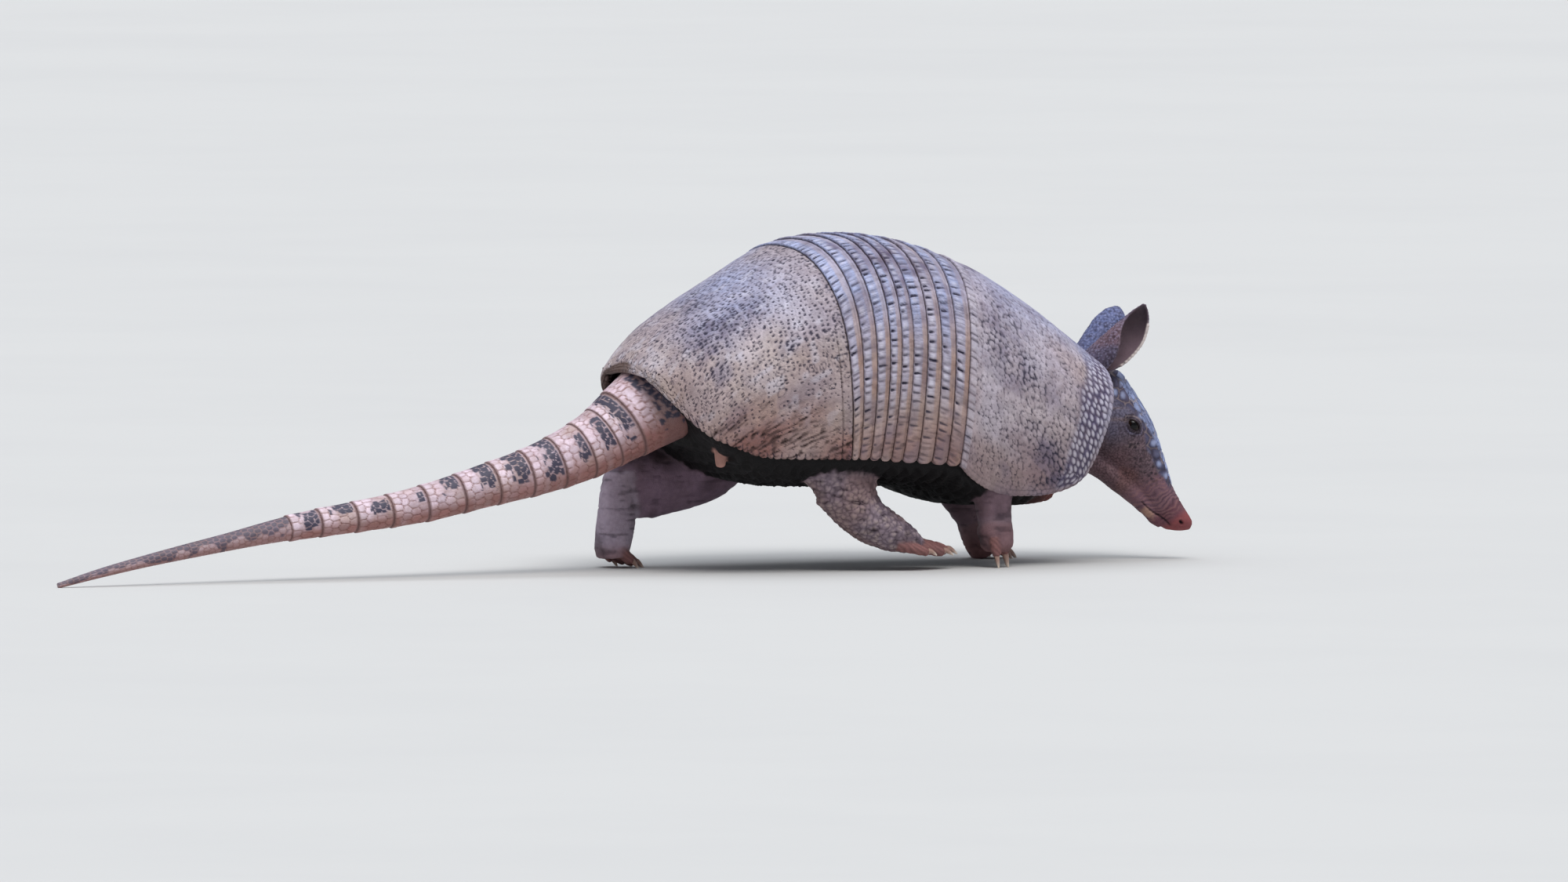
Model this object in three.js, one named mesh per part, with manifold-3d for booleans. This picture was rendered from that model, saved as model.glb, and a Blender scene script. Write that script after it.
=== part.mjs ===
// Nine-banded armadillo, life size, walking with its head down to the ground.
// Millimetres. +X is forward, +Y is the animal's left, +Z is up, the ground is z = 0.

import * as THREE from 'three';
import { LoftGeometry } from 'three/addons/geometries/LoftGeometry.js';
import { mergeVertices } from 'three/addons/utils/BufferGeometryUtils.js';
import Module from 'manifold-3d';

const wasm = await Module();
wasm.setup();

// ---------------------------------------------------------------- driving dimensions

const GAP = 0.35;                 // clearance between neighbouring solids
const PLATE = 3.0;                // thickness of the shell
const BAND_STEP = 0.9;            // how far a band's rear edge stands over the next band
const TRUNK_GAP = 0.9;            // clearance between the shell and the body inside it
const HOOP_POINTS = 17;           // points across the shell, margin to margin
const BELLY_POINTS = 6;           // points across the belly, between the margins
const SQUARENESS = 0.88;          // exponent of the shell's arch, 1 is an ellipse
const SIDE_SHARE = 0.38;          // share of a hoop that hangs below its widest point
const FULL_SIDE = 0.46;           // height of the widest point, as a share of the hoop
const MERGE = 1e-4;               // vertices closer than this are one
const FLOOR_DEPTH = 40;           // thickness of the block that trims what meets the ground
const FLOOR_SPAN = 900;           // width of that block
const FORWARD_SHIFT = 4.0;        // brings the middle of nose and tail tip over the origin

// Shell stations from the tail to the neck. Each row is one hoop:
// top x, top z, margin x, margin half-width, margin z, widest half-width,
// height share of the widest point, bow (how late the hoop leaves its margin's line).
const PELVIC_HOOPS = [
	[ - 4.0, 112.6, - 0.8, 27.0, 107.4, 27.4, 0.05, 1.0 ],
	[ - 2.0, 117.4, 2.6, 39.0, 100.6, 39.4, 0.14, 1.3 ],
	[ 3.2, 124.4, 7.6, 44.6, 94.4, 45.4, 0.24, 1.6 ],
	[ 12.0, 132.2, 13.0, 51.0, 87.0, 52.0, 0.33, 1.6 ],
	[ 23.5, 141.2, 22.3, 58.5, 78.0, 60.5, 0.4, 1.6 ],
	[ 42.0, 152.6, 36.3, 63.5, 71.3, 69.0, 0.43, 1.6 ],
	[ 61.5, 163.6, 56.0, 67.5, 65.0, 75.6, 0.45, 1.4 ],
	[ 93.5, 181.8, 106.1, 69.5, 63.2, 80.0, 0.46, 1.0 ],
];
const BAND_HOOPS = [
	[ 93.5, 181.8, 106.1, 69.5, 63.2, 80.0, 0.46, 1.0 ],
	[ 104.9, 185.2, 110.9, 69.0, 63.0, 80.0, 0.46, 1.0 ],
	[ 115.8, 186.9, 117.8, 68.5, 62.6, 80.0, 0.46, 1.1 ],
	[ 126.2, 187.5, 124.6, 68.0, 62.1, 80.0, 0.46, 1.4 ],
	[ 134.8, 187.4, 131.0, 68.0, 61.5, 80.0, 0.46, 1.5 ],
	[ 142.4, 186.9, 138.1, 68.0, 61.0, 80.0, 0.46, 1.6 ],
	[ 153.4, 185.4, 147.3, 68.0, 60.2, 80.0, 0.46, 2.4 ],
	[ 163.0, 183.4, 156.5, 68.0, 59.4, 79.8, 0.46, 3.2 ],
	[ 175.2, 180.0, 165.7, 68.0, 58.6, 79.4, 0.46, 3.8 ],
	[ 188.6, 175.2, 174.1, 68.0, 57.7, 78.8, 0.46, 3.6 ],
];
const SCAPULAR_HOOPS = [
	[ 188.6, 175.2, 174.1, 68.0, 57.7, 78.8, 0.46, 3.6 ],
	[ 205.0, 168.8, 184.5, 62.0, 50.5, 78.2, 0.46, 3.2 ],
	[ 220.4, 160.3, 198.0, 56.0, 43.4, 76.2, 0.46, 2.5 ],
	[ 236.0, 150.4, 214.0, 52.0, 39.2, 73.0, 0.46, 1.9 ],
	[ 249.1, 141.2, 231.0, 50.0, 38.8, 69.5, 0.47, 1.5 ],
	[ 261.5, 131.8, 245.5, 49.0, 40.6, 65.8, 0.48, 1.2 ],
	[ 273.0, 122.9, 256.5, 48.0, 44.4, 62.0, 0.49, 1.1 ],
	[ 283.6, 114.7, 264.0, 47.5, 50.0, 58.6, 0.5, 1.0 ],
];

// The body inside the shell reuses the hoops from the third pelvic one to the fifth scapular
// one. Each row here is the lowest point of the belly at that hoop: x, z.
const BELLY_LINE = [
	[ 34.0, 71.0 ],
	[ 46.0, 61.0 ],
	[ 62.0, 51.5 ],
	[ 84.0, 47.6 ],
	[ 106.6, 47.0 ],
	[ 113.2, 47.5 ],
	[ 119.6, 47.3 ],
	[ 125.4, 47.2 ],
	[ 132.8, 47.0 ],
	[ 140.1, 46.8 ],
	[ 147.9, 46.6 ],
	[ 157.2, 46.0 ],
	[ 166.5, 44.8 ],
	[ 175.4, 41.2 ],
	[ 184.5, 37.6 ],
	[ 198.5, 34.6 ],
	[ 214.5, 34.0 ],
	[ 231.0, 33.4 ],
	[ 245.5, 34.6 ],
];
const FIRST_TRUNK_HOOP = 3;
const LAST_SCAPULAR_HOOP = 5;

// Teat that hangs behind the near thigh: base, tip, base radius, tip radius.
const TEAT_BASE = [ 39.8, - 37.6, 78.0 ];
const TEAT_TIP = [ 38.8, - 39.2, 61.2 ];
const TEAT_BASE_RADIUS = 4.2;
const TEAT_TIP_RADIUS = 2.5;

// Tail stations at the ring edges: x, z, radius. The first one lies inside the rump.
const TAIL_EDGES = [
	[ 20.0, 97.0, 25.5 ],
	[ - 3.0, 83.0, 20.9 ],
	[ - 15.2, 75.6, 18.4 ],
	[ - 29.2, 68.6, 16.8 ],
	[ - 45.8, 62.2, 15.1 ],
	[ - 64.4, 56.5, 13.5 ],
	[ - 84.5, 51.6, 12.3 ],
	[ - 105.3, 46.4, 11.2 ],
	[ - 127.5, 41.4, 10.3 ],
	[ - 148.8, 37.8, 9.3 ],
	[ - 170.4, 34.9, 8.6 ],
	[ - 192.2, 32.2, 7.9 ],
	[ - 210.8, 29.6, 7.1 ],
];
const TAIL_TIPS = [
	[ - 210.8, 29.6, 6.8 ],
	[ - 228.0, 26.6, 5.9 ],
	[ - 247.0, 23.0, 5.0 ],
	[ - 272.0, 18.4, 4.2 ],
	[ - 297.0, 13.6, 3.4 ],
	[ - 325.0, 7.6, 2.6 ],
	[ - 351.0, 1.2, 1.5 ],
];
const TAIL_POINTS = 12;
const TAIL_FLARE = 0.7;           // how far a ring's rear edge stands over the next ring
const TAIL_SWELL = 0.2;           // how far it has risen where the flare begins
const TAIL_BASE_WIDTH = 1.12;     // the first ring is wider than it is high
const FLARE_START = 0.72;         // where along a ring its flare begins
const TIP_SPLIT = 3;              // station where the two scaly end pieces meet

// The head turns a little to the right, about the neck.
const HEAD_PIVOT_X = 278.0;
const HEAD_YAW = THREE.MathUtils.degToRad( - 16 );
const HEAD_POINTS = 16;

// Head stations from the nose to the nape, in the head's own frame:
// top x, top z, underside x, underside z, half-width, fullness of the upper half.
const HEAD_RINGS = [
	[ 68.8, 21.4, 67.2, 16.6, 4.2, 0.9 ],
	[ 67.4, 24.2, 61.5, 15.9, 6.2, 0.95 ],
	[ 64.8, 28.4, 56.0, 16.6, 7.2, 1.0 ],
	[ 61.6, 33.6, 51.0, 18.8, 7.9, 1.0 ],
	[ 58.2, 40.0, 46.5, 24.3, 8.9, 1.0 ],
	[ 55.5, 48.9, 42.0, 30.0, 10.4, 1.0 ],
	[ 53.1, 56.8, 35.5, 38.0, 12.9, 1.0 ],
	[ 50.7, 64.1, 28.0, 45.6, 16.0, 1.0 ],
	[ 48.1, 71.9, 20.0, 53.0, 18.9, 1.0 ],
	[ 44.9, 79.7, 12.0, 59.5, 20.8, 1.0 ],
	[ 40.2, 87.9, 4.5, 64.0, 21.6, 1.0 ],
	[ 34.4, 96.9, - 1.5, 68.0, 20.8, 1.0 ],
	[ 26.0, 107.2, - 7.0, 72.0, 18.8, 1.0 ],
	[ 13.0, 110.0, - 12.0, 76.0, 17.0, 1.0 ],
	[ 1.0, 106.0, - 16.0, 80.0, 15.0, 1.0 ],
];
const SHIELD_FIRST_RING = 4;      // the head shield runs from this station to the next one
const SHIELD_LAST_RING = 12;
const SHIELD_THICKNESS = 1.2;
const SHIELD_HALF_ANGLES = [ 24, 34, 40, 44, 47, 50, 50, 48, 40 ];
const SHIELD_COLUMNS = 9;

// Lower jaw stations: top x, top z, bottom x, bottom z, half-width. The head is cut out of it.
const JAW_RINGS = [
	[ 53.0, 22.0, 49.6, 17.8, 3.6 ],
	[ 50.5, 26.5, 45.4, 20.3, 5.4 ],
	[ 45.5, 34.0, 40.8, 25.2, 6.8 ],
	[ 38.5, 42.0, 32.0, 32.6, 9.2 ],
	[ 31.0, 50.0, 22.8, 39.6, 11.6 ],
	[ 23.0, 57.0, 13.9, 46.4, 13.6 ],
	[ 14.0, 64.0, 4.0, 51.6, 14.6 ],
];
const JAW_POINTS = 10;

const EYE_CENTRE = [ 31.6, 17.6, 76.8 ];
const EYE_RADIUS = 4.5;
const EYE_SEGMENTS = 8;
const EYE_RINGS = 6;

// Ear stations from the root to the tip, in the head's frame, for the right ear:
// centre x, y, z, radius, front margin angle, rear margin angle. The angles turn about
// the ear's own axis from the front, 0, over the outer side, 90, to the back, 180.
const EAR_RIGHT = [
	[ 4.0, - 12.0, 106.5, 7.0, 12, 22 ],
	[ 11.4, - 14.8, 112.8, 8.8, 12, 34 ],
	[ 21.0, - 18.0, 119.6, 10.4, 12, 74 ],
	[ 28.0, - 20.6, 127.0, 9.9, 8, 120 ],
	[ 32.4, - 22.8, 134.0, 7.8, 4, 160 ],
	[ 35.0, - 24.6, 140.2, 5.0, 0, 190 ],
	[ 36.6, - 26.0, 145.4, 1.3, 0, 215 ],
];
const EAR_LEFT = [
	[ 5.0, 12.0, 106.5, 7.0, 12, 22 ],
	[ 11.0, 15.0, 113.4, 8.6, 12, 34 ],
	[ 18.0, 18.0, 120.8, 10.0, 12, 74 ],
	[ 23.4, 20.6, 128.2, 9.8, 8, 120 ],
	[ 27.0, 22.4, 134.2, 8.2, 4, 160 ],
	[ 29.0, 23.6, 138.8, 5.8, 0, 190 ],
	[ 30.2, 24.2, 142.0, 1.9, 0, 215 ],
];
const EAR_WALL = 1.3;
const EAR_COLUMNS = 8;

// Neck stations: x, y, z of the centre, half-height, half-width.
const NECK_RINGS = [
	[ 252.0, 0.0, 82.0, 31.0, 40.0 ],
	[ 262.0, 0.0, 79.5, 30.5, 37.0 ],
	[ 272.0, 0.5, 78.0, 27.5, 31.0 ],
	[ 281.0, 0.5, 78.5, 23.5, 24.0 ],
];

// Limb stations: x, y, z of the centre, half-depth along the body, half-width across it.
const HIND_LEG_RIGHT = [
	[ 103.0, - 43.0, 78.0, 24.0, 16.0 ],
	[ 107.5, - 46.5, 63.0, 23.0, 14.5 ],
	[ 110.5, - 48.5, 53.0, 20.5, 12.8 ],
	[ 112.6, - 49.5, 43.6, 18.0, 11.4 ],
];
const HIND_LEG_LEFT = [
	[ 80.0, 38.0, 74.0, 25.0, 17.0 ],
	[ 68.0, 41.0, 57.0, 20.5, 15.0 ],
	[ 48.0, 43.5, 48.0, 17.5, 12.5 ],
	[ 33.0, 44.6, 45.0, 17.4, 11.5 ],
	[ 23.6, 45.0, 42.4, 16.0, 10.2 ],
];
const FORE_LEG_RIGHT = [
	[ 205.0, - 40.0, 66.0, 16.0, 12.5 ],
	[ 205.5, - 42.5, 52.0, 13.5, 11.5 ],
	[ 206.3, - 44.0, 39.0, 10.8, 10.0 ],
	[ 207.2, - 45.0, 25.5, 9.4, 9.6 ],
];
const FORE_LEG_LEFT = [
	[ 215.0, 36.0, 62.0, 17.0, 12.5 ],
	[ 221.0, 37.5, 46.0, 14.0, 11.5 ],
	[ 229.0, 38.5, 33.0, 11.4, 10.2 ],
	[ 235.6, 39.5, 22.5, 9.8, 10.0 ],
];
const LIMB_POINTS = 10;

// Foot stations: back x, back z, sole x, sole z (the two ends of the section), y, half-width.
const HIND_FOOT_RIGHT = [
	[ 128.0, 48.0, 96.0, 47.0, - 49.6, 9.6 ],
	[ 131.2, 42.6, 94.2, 39.4, - 49.6, 10.6 ],
	[ 134.6, 37.6, 99.0, 34.6, - 49.4, 11.2 ],
	[ 140.0, 34.2, 107.5, 26.6, - 48.8, 12.2 ],
	[ 146.2, 29.8, 117.5, 19.6, - 48.2, 13.2 ],
	[ 152.6, 25.0, 129.0, 14.0, - 47.6, 13.9 ],
	[ 157.0, 20.8, 141.0, 10.8, - 47.2, 12.6 ],
	[ 160.0, 17.4, 149.0, 9.6, - 47.0, 10.2 ],
];
const HIND_FOOT_LEFT = [
	[ 29.6, 53.0, 8.6, 55.0, 45.0, 8.8 ],
	[ 28.2, 42.0, 5.8, 46.0, 45.0, 10.0 ],
	[ 26.2, 30.0, 4.4, 33.0, 45.2, 10.8 ],
	[ 24.2, 20.0, 3.4, 21.0, 45.6, 12.4 ],
	[ 22.0, 12.4, 3.4, 11.6, 46.0, 13.8 ],
	[ 20.4, 7.4, 5.4, 5.0, 46.2, 13.4 ],
];
const FORE_FOOT_RIGHT = [
	[ 215.4, 29.0, 198.6, 29.0, - 45.0, 8.8 ],
	[ 216.8, 25.0, 197.8, 25.0, - 45.0, 9.6 ],
	[ 217.4, 19.6, 197.2, 19.6, - 45.2, 10.8 ],
	[ 217.2, 14.6, 198.6, 14.6, - 45.4, 11.2 ],
];
const FORE_FOOT_LEFT = [
	[ 242.6, 30.0, 226.4, 24.6, 39.4, 9.0 ],
	[ 245.6, 25.0, 226.8, 19.0, 39.6, 10.0 ],
	[ 248.2, 19.0, 229.6, 10.6, 40.0, 11.0 ],
	[ 249.8, 13.4, 233.4, 3.4, 40.2, 11.6 ],
	[ 250.4, 8.8, 237.6, - 1.4, 40.4, 11.2 ],
];
const FOOT_POINTS = 10;

// Toes: root x, y, z, end x, y, z, root radius, end radius, claw tip x, y, z.
const HIND_TOES_RIGHT = [
	[ 146.0, - 38.0, 16.0, 160.4, - 35.0, 12.4, 4.0, 3.0, 169.4, - 34.2, 9.4 ],
	[ 153.0, - 41.6, 15.4, 169.4, - 41.0, 11.6, 4.4, 3.2, 179.8, - 40.8, 8.6 ],
	[ 154.0, - 47.0, 15.2, 171.6, - 47.0, 11.4, 4.5, 3.3, 182.6, - 47.0, 8.2 ],
	[ 151.0, - 52.6, 14.6, 166.8, - 53.4, 10.8, 4.3, 3.2, 176.8, - 53.8, 8.0 ],
	[ 140.0, - 57.0, 15.0, 154.4, - 60.4, 11.4, 3.8, 2.9, 162.6, - 61.8, 8.6 ],
];
const HIND_TOES_LEFT = [
	[ 12.0, 36.2, 11.0, 16.6, 35.2, 6.0, 3.9, 3.0, 23.6, 34.6, - 0.8 ],
	[ 13.4, 40.8, 10.0, 20.6, 40.4, 5.0, 4.2, 3.2, 29.6, 40.2, - 0.8 ],
	[ 13.6, 46.0, 10.0, 21.4, 46.0, 4.9, 4.3, 3.3, 31.4, 46.0, - 0.8 ],
	[ 13.0, 51.4, 10.0, 19.8, 52.0, 5.0, 4.2, 3.2, 28.4, 52.4, - 0.8 ],
	[ 11.4, 56.4, 11.0, 15.6, 57.6, 6.2, 3.7, 2.9, 22.0, 58.6, - 0.8 ],
];
const FORE_TOES_RIGHT = [
	[ 209.6, - 38.0, 17.0, 210.8, - 37.4, 11.6, 3.8, 3.0, 213.0, - 37.0, - 0.8 ],
	[ 211.6, - 42.6, 17.0, 213.0, - 42.4, 12.6, 4.1, 3.4, 216.4, - 42.2, - 0.8 ],
	[ 209.4, - 48.2, 17.0, 210.6, - 48.6, 12.4, 4.1, 3.4, 213.8, - 49.0, - 0.8 ],
	[ 203.4, - 52.4, 17.0, 203.6, - 53.4, 11.0, 3.7, 2.9, 205.2, - 54.2, - 0.8 ],
];
const FORE_TOES_LEFT = [
	[ 243.0, 32.4, 7.0, 248.8, 31.0, 5.0, 3.9, 3.0, 255.6, 30.0, - 0.8 ],
	[ 245.0, 37.6, 7.4, 251.8, 37.0, 5.4, 4.2, 3.4, 261.6, 36.4, - 0.8 ],
	[ 244.0, 43.4, 7.4, 250.8, 43.8, 5.4, 4.2, 3.4, 260.0, 44.4, - 0.8 ],
	[ 241.0, 48.4, 7.0, 246.4, 50.0, 5.0, 3.8, 3.0, 252.4, 51.6, - 0.8 ],
];
const TOE_POINTS = 6;
const CLAW_POINTS = 6;
const CLAW_RADIUS = 0.72;         // claw root radius as a share of its toe's
const CLAW_TIP_RADIUS = 0.45;
const CLAW_GAP = 0.8;             // clearance between a toe's end and its claw's root
const CLAW_ARCH = 0.16;           // rise of the claw's middle as a share of its length

// ---------------------------------------------------------------- materials

const COLOURS = {
	pelvic: 0x8b7f83,
	band: 0x766b72,
	scapular: 0x8d8490,
	tail: 0xb9a2a8,
	tailTip: 0x6a6472,
	skin: 0x54434a,
	leg: 0x5c4c54,
	head: 0x59464d,
	headShield: 0x7d8094,
	ear: 0x6a6880,
	eye: 0x0b0a0c,
	hindClaw: 0x8c7670,
	foreClaw: 0x9c8280,
};
const ROUGHNESS = 0.8;
const EYE_ROUGHNESS = 0.1;

function finish( name ) {

	return new THREE.MeshStandardMaterial( {
		color: COLOURS[ name ],
		roughness: name === 'eye' ? EYE_ROUGHNESS : ROUGHNESS,
		metalness: 0,
	} );

}

// ---------------------------------------------------------------- solid helpers

// Keep only merged positions, so the mesh is one closed body.
function weld( source ) {

	const geometry = new THREE.BufferGeometry();
	geometry.setAttribute( 'position', source.getAttribute( 'position' ) );
	geometry.setIndex( source.getIndex() );
	return mergeVertices( geometry, MERGE );

}

function signedVolume( geometry ) {

	const position = geometry.getAttribute( 'position' );
	const index = geometry.getIndex();
	const a = new THREE.Vector3();
	const b = new THREE.Vector3();
	const c = new THREE.Vector3();
	let volume = 0;
	for ( let i = 0; i < index.count; i += 3 ) {

		a.fromBufferAttribute( position, index.getX( i ) );
		b.fromBufferAttribute( position, index.getX( i + 1 ) );
		c.fromBufferAttribute( position, index.getX( i + 2 ) );
		volume += a.dot( b.cross( c ) ) / 6;

	}

	return volume;

}

// Turn every face over when the body was wound inwards.
function faceOut( geometry ) {

	if ( signedVolume( geometry ) > 0 ) return geometry;
	const index = geometry.getIndex();
	for ( let i = 0; i < index.count; i += 3 ) {

		const second = index.getX( i + 1 );
		index.setX( i + 1, index.getX( i + 2 ) );
		index.setX( i + 2, second );

	}

	return geometry;

}

function ringCentre( ring ) {

	return ring.reduce( ( sum, point ) => sum.add( point ), new THREE.Vector3() ).divideScalar( ring.length );

}

// Whether a ring turns anticlockwise when seen from the next ring.
function windsForward( ring, next ) {

	const centre = ringCentre( ring );
	const normal = new THREE.Vector3();
	ring.forEach( ( point, j ) => {

		const following = ring[ ( j + 1 ) % ring.length ].clone().sub( centre );
		normal.add( point.clone().sub( centre ).cross( following ) );

	} );
	return normal.dot( ringCentre( next ).sub( centre ) ) > 0;

}

// A closed body through a row of rings, with flat ends.
function loftBody( rings ) {

	const forward = windsForward( rings[ 0 ], rings[ 1 ] );
	const sections = rings.map( ( ring ) => ( forward ? ring : [ ...ring ].reverse() ) );
	return weld( new LoftGeometry( sections, { capStart: true, capEnd: true } ) );

}

// A closed plate between two grids of points of the same size.
function slabBody( outer, inner ) {

	const rows = outer.length;
	const columns = outer[ 0 ].length;
	const points = [ ...outer.flat(), ...inner.flat() ];
	const under = rows * columns;
	const indices = [];
	const quad = ( a, b, c, d ) => indices.push( a, b, c, a, c, d );
	for ( let i = 0; i < rows - 1; i ++ ) {

		for ( let j = 0; j < columns - 1; j ++ ) {

			const a = i * columns + j;
			const d = a + columns;
			quad( a, a + 1, d + 1, d );
			quad( under + a, under + d, under + d + 1, under + a + 1 );

		}

	}

	const rim = [];
	for ( let j = 0; j < columns - 1; j ++ ) rim.push( j );
	for ( let i = 0; i < rows - 1; i ++ ) rim.push( i * columns + columns - 1 );
	for ( let j = columns - 1; j > 0; j -- ) rim.push( ( rows - 1 ) * columns + j );
	for ( let i = rows - 1; i > 0; i -- ) rim.push( i * columns );
	rim.forEach( ( from, k ) => {

		const to = rim[ ( k + 1 ) % rim.length ];
		quad( to, from, under + from, under + to );

	} );

	const geometry = new THREE.BufferGeometry().setFromPoints( points );
	geometry.setIndex( indices );
	return faceOut( mergeVertices( geometry, MERGE ) );

}

function toSolid( geometry ) {

	return new wasm.Manifold( new wasm.Mesh( {
		numProp: 3,
		vertProperties: new Float32Array( geometry.getAttribute( 'position' ).array ),
		triVerts: new Uint32Array( geometry.getIndex().array ),
	} ) );

}

function fromSolid( solid ) {

	const mesh = solid.getMesh();
	const geometry = new THREE.BufferGeometry();
	geometry.setAttribute( 'position', new THREE.BufferAttribute( mesh.vertProperties, 3 ) );
	geometry.setIndex( new THREE.BufferAttribute( mesh.triVerts, 1 ) );
	return mergeVertices( geometry, MERGE );

}

// Cut each tool out of a body.
function cut( geometry, ...tools ) {

	const rest = tools.reduce( ( solid, tool ) => solid.subtract( toSolid( tool ) ), toSolid( geometry ) );
	return fromSolid( rest );

}

// Join bodies that run into each other.
function join( geometry, ...others ) {

	const whole = others.reduce( ( solid, other ) => solid.add( toSolid( other ) ), toSolid( geometry ) );
	return fromSolid( whole );

}

// Trim what reaches below the ground, which leaves a small flat to stand on.
function standOnGround( geometry ) {

	const ground = new THREE.BoxGeometry( FLOOR_SPAN, FLOOR_SPAN, FLOOR_DEPTH );
	ground.translate( 0, 0, - FLOOR_DEPTH / 2 );
	return cut( geometry, weld( ground ) );

}

// ---------------------------------------------------------------- shell

// One point of a hoop; share runs from 0 at the right margin to 1 at the left one.
function hoopPoint( hoop, share ) {

	const [ topX, topZ, marginX, marginY, marginZ, widest, sideShare, bow ] = hoop;
	const side = Math.sign( share - 0.5 );
	const reach = Math.abs( 2 * share - 1 );
	const turning = 1 - SIDE_SHARE * sideShare / FULL_SIDE;
	let height;
	let width;
	if ( reach <= turning ) {

		const angle = reach / turning * Math.PI / 2;
		width = widest * Math.sin( angle ) ** SQUARENESS;
		height = sideShare + ( 1 - sideShare ) * Math.max( 0, Math.cos( angle ) ) ** SQUARENESS;

	} else {

		const drop = ( reach - turning ) / ( 1 - turning );
		width = widest - ( widest - marginY ) * drop ** 2;
		height = sideShare * ( 1 - drop );

	}

	return new THREE.Vector3(
		marginX + ( topX - marginX ) * height ** bow,
		side * width,
		marginZ + ( topZ - marginZ ) * height,
	);

}

function hoopGrid( hoops ) {

	return hoops.map( ( hoop ) => Array.from(
		{ length: HOOP_POINTS },
		( _, j ) => hoopPoint( hoop, j / ( HOOP_POINTS - 1 ) ),
	) );

}

// Outward normals of an open grid, by the differences of neighbouring points.
function gridNormals( grid ) {

	const rows = grid.length;
	const columns = grid[ 0 ].length;
	return grid.map( ( row, i ) => row.map( ( _, j ) => {

		const along = grid[ Math.min( i + 1, rows - 1 ) ][ j ].clone();
		along.sub( grid[ Math.max( i - 1, 0 ) ][ j ] );
		const across = row[ Math.min( j + 1, columns - 1 ) ].clone();
		across.sub( row[ Math.max( j - 1, 0 ) ] );
		return along.cross( across ).normalize();

	} ) );

}

function offsetGrid( grid, normals, distances ) {

	return grid.map( ( row, i ) => row.map(
		( point, j ) => point.clone().addScaledVector( normals[ i ][ j ], distances[ i ] ),
	) );

}

// The whole shell as one grid, so that neighbouring plates share their normals.
const ALL_HOOPS = [ ...PELVIC_HOOPS, ...BAND_HOOPS.slice( 1 ), ...SCAPULAR_HOOPS.slice( 1 ) ];
const SHELL_GRID = hoopGrid( ALL_HOOPS );
const SHELL_NORMALS = gridNormals( SHELL_GRID );

// Move one end row of a plate a little towards its inside.
function drawIn( grid, end, distance ) {

	const row = end === 0 ? 0 : grid.length - 1;
	const next = end === 0 ? 1 : grid.length - 2;
	grid[ row ] = grid[ row ].map( ( point, j ) => {

		const step = grid[ next ][ j ].clone().sub( point );
		return point.clone().addScaledVector( step.normalize(), distance );

	} );

}

// A plate from one hoop to another; its rear edge stands a step proud of its front edge.
function shellPlate( first, last, step ) {

	const grid = SHELL_GRID.slice( first, last + 1 );
	const normals = SHELL_NORMALS.slice( first, last + 1 );
	const rise = grid.map( ( _, i ) => ( i === 0 ? step : 0 ) );
	const outer = offsetGrid( grid, normals, rise );
	const inner = offsetGrid( grid, normals, rise.map( ( height ) => height - PLATE ) );
	for ( const side of [ outer, inner ] ) {

		if ( first > 0 ) drawIn( side, 0, GAP / 2 );
		if ( last < ALL_HOOPS.length - 1 ) drawIn( side, 1, GAP / 2 );

	}

	return slabBody( outer, inner );

}

// The whole shell as one thicker plate, a gap larger all round, to cut its neighbours with.
function shellRoom() {

	const wide = ( grid ) => {

		const copy = grid.map( ( row ) => row.map( ( point ) => point.clone() ) );
		drawIn( copy, 0, - GAP );
		drawIn( copy, 1, - GAP );
		for ( const row of copy ) {

			const last = row.length - 1;
			const right = row[ 0 ].clone().sub( row[ 1 ] ).normalize();
			const left = row[ last ].clone().sub( row[ last - 1 ] ).normalize();
			row[ 0 ].addScaledVector( right, GAP );
			row[ last ].addScaledVector( left, GAP );

		}

		return copy;

	};
	const outer = offsetGrid( SHELL_GRID, SHELL_NORMALS, SHELL_GRID.map( () => BAND_STEP + GAP ) );
	const inner = offsetGrid( SHELL_GRID, SHELL_NORMALS, SHELL_GRID.map( () => - PLATE - GAP ) );
	return slabBody( wide( outer ), wide( inner ) );

}

// ---------------------------------------------------------------- trunk

function trunkRings( inset ) {

	const first = FIRST_TRUNK_HOOP;
	const last = ALL_HOOPS.length - SCAPULAR_HOOPS.length + LAST_SCAPULAR_HOOP;
	const rings = [];
	for ( let i = first; i <= last; i ++ ) {

		const back = SHELL_GRID[ i ].map(
			( point, j ) => point.clone().addScaledVector( SHELL_NORMALS[ i ][ j ], - inset ),
		);
		const [ lowX, lowZ ] = BELLY_LINE[ i - first ];
		const start = back[ back.length - 1 ];
		const belly = [];
		for ( let k = 1; k <= BELLY_POINTS; k ++ ) {

			const angle = Math.PI * k / ( BELLY_POINTS + 1 );
			const depth = Math.sin( angle ) ** 0.8;
			belly.push( new THREE.Vector3(
				start.x + ( lowX - start.x ) * depth,
				start.y * Math.cos( angle ),
				start.z + ( lowZ + inset - PLATE - TRUNK_GAP - start.z ) * depth,
			) );

		}

		rings.push( [ ...back, ...belly ] );

	}

	return rings;

}

// ---------------------------------------------------------------- tail

function tailRing( x, z, radiusY, radiusZ, slope ) {

	const ring = [];
	for ( let j = 0; j < TAIL_POINTS; j ++ ) {

		const angle = 2 * Math.PI * j / TAIL_POINTS;
		const rise = radiusZ * Math.cos( angle );
		ring.push( new THREE.Vector3(
			x - rise * Math.sin( slope ),
			radiusY * Math.sin( angle ),
			z + rise * Math.cos( slope ),
		) );

	}

	return ring;

}

function tailSlope( stations, i ) {

	const before = stations[ Math.max( i - 1, 0 ) ];
	const after = stations[ Math.min( i + 1, stations.length - 1 ) ];
	return Math.atan2( before[ 1 ] - after[ 1 ], before[ 0 ] - after[ 0 ] );

}

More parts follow.
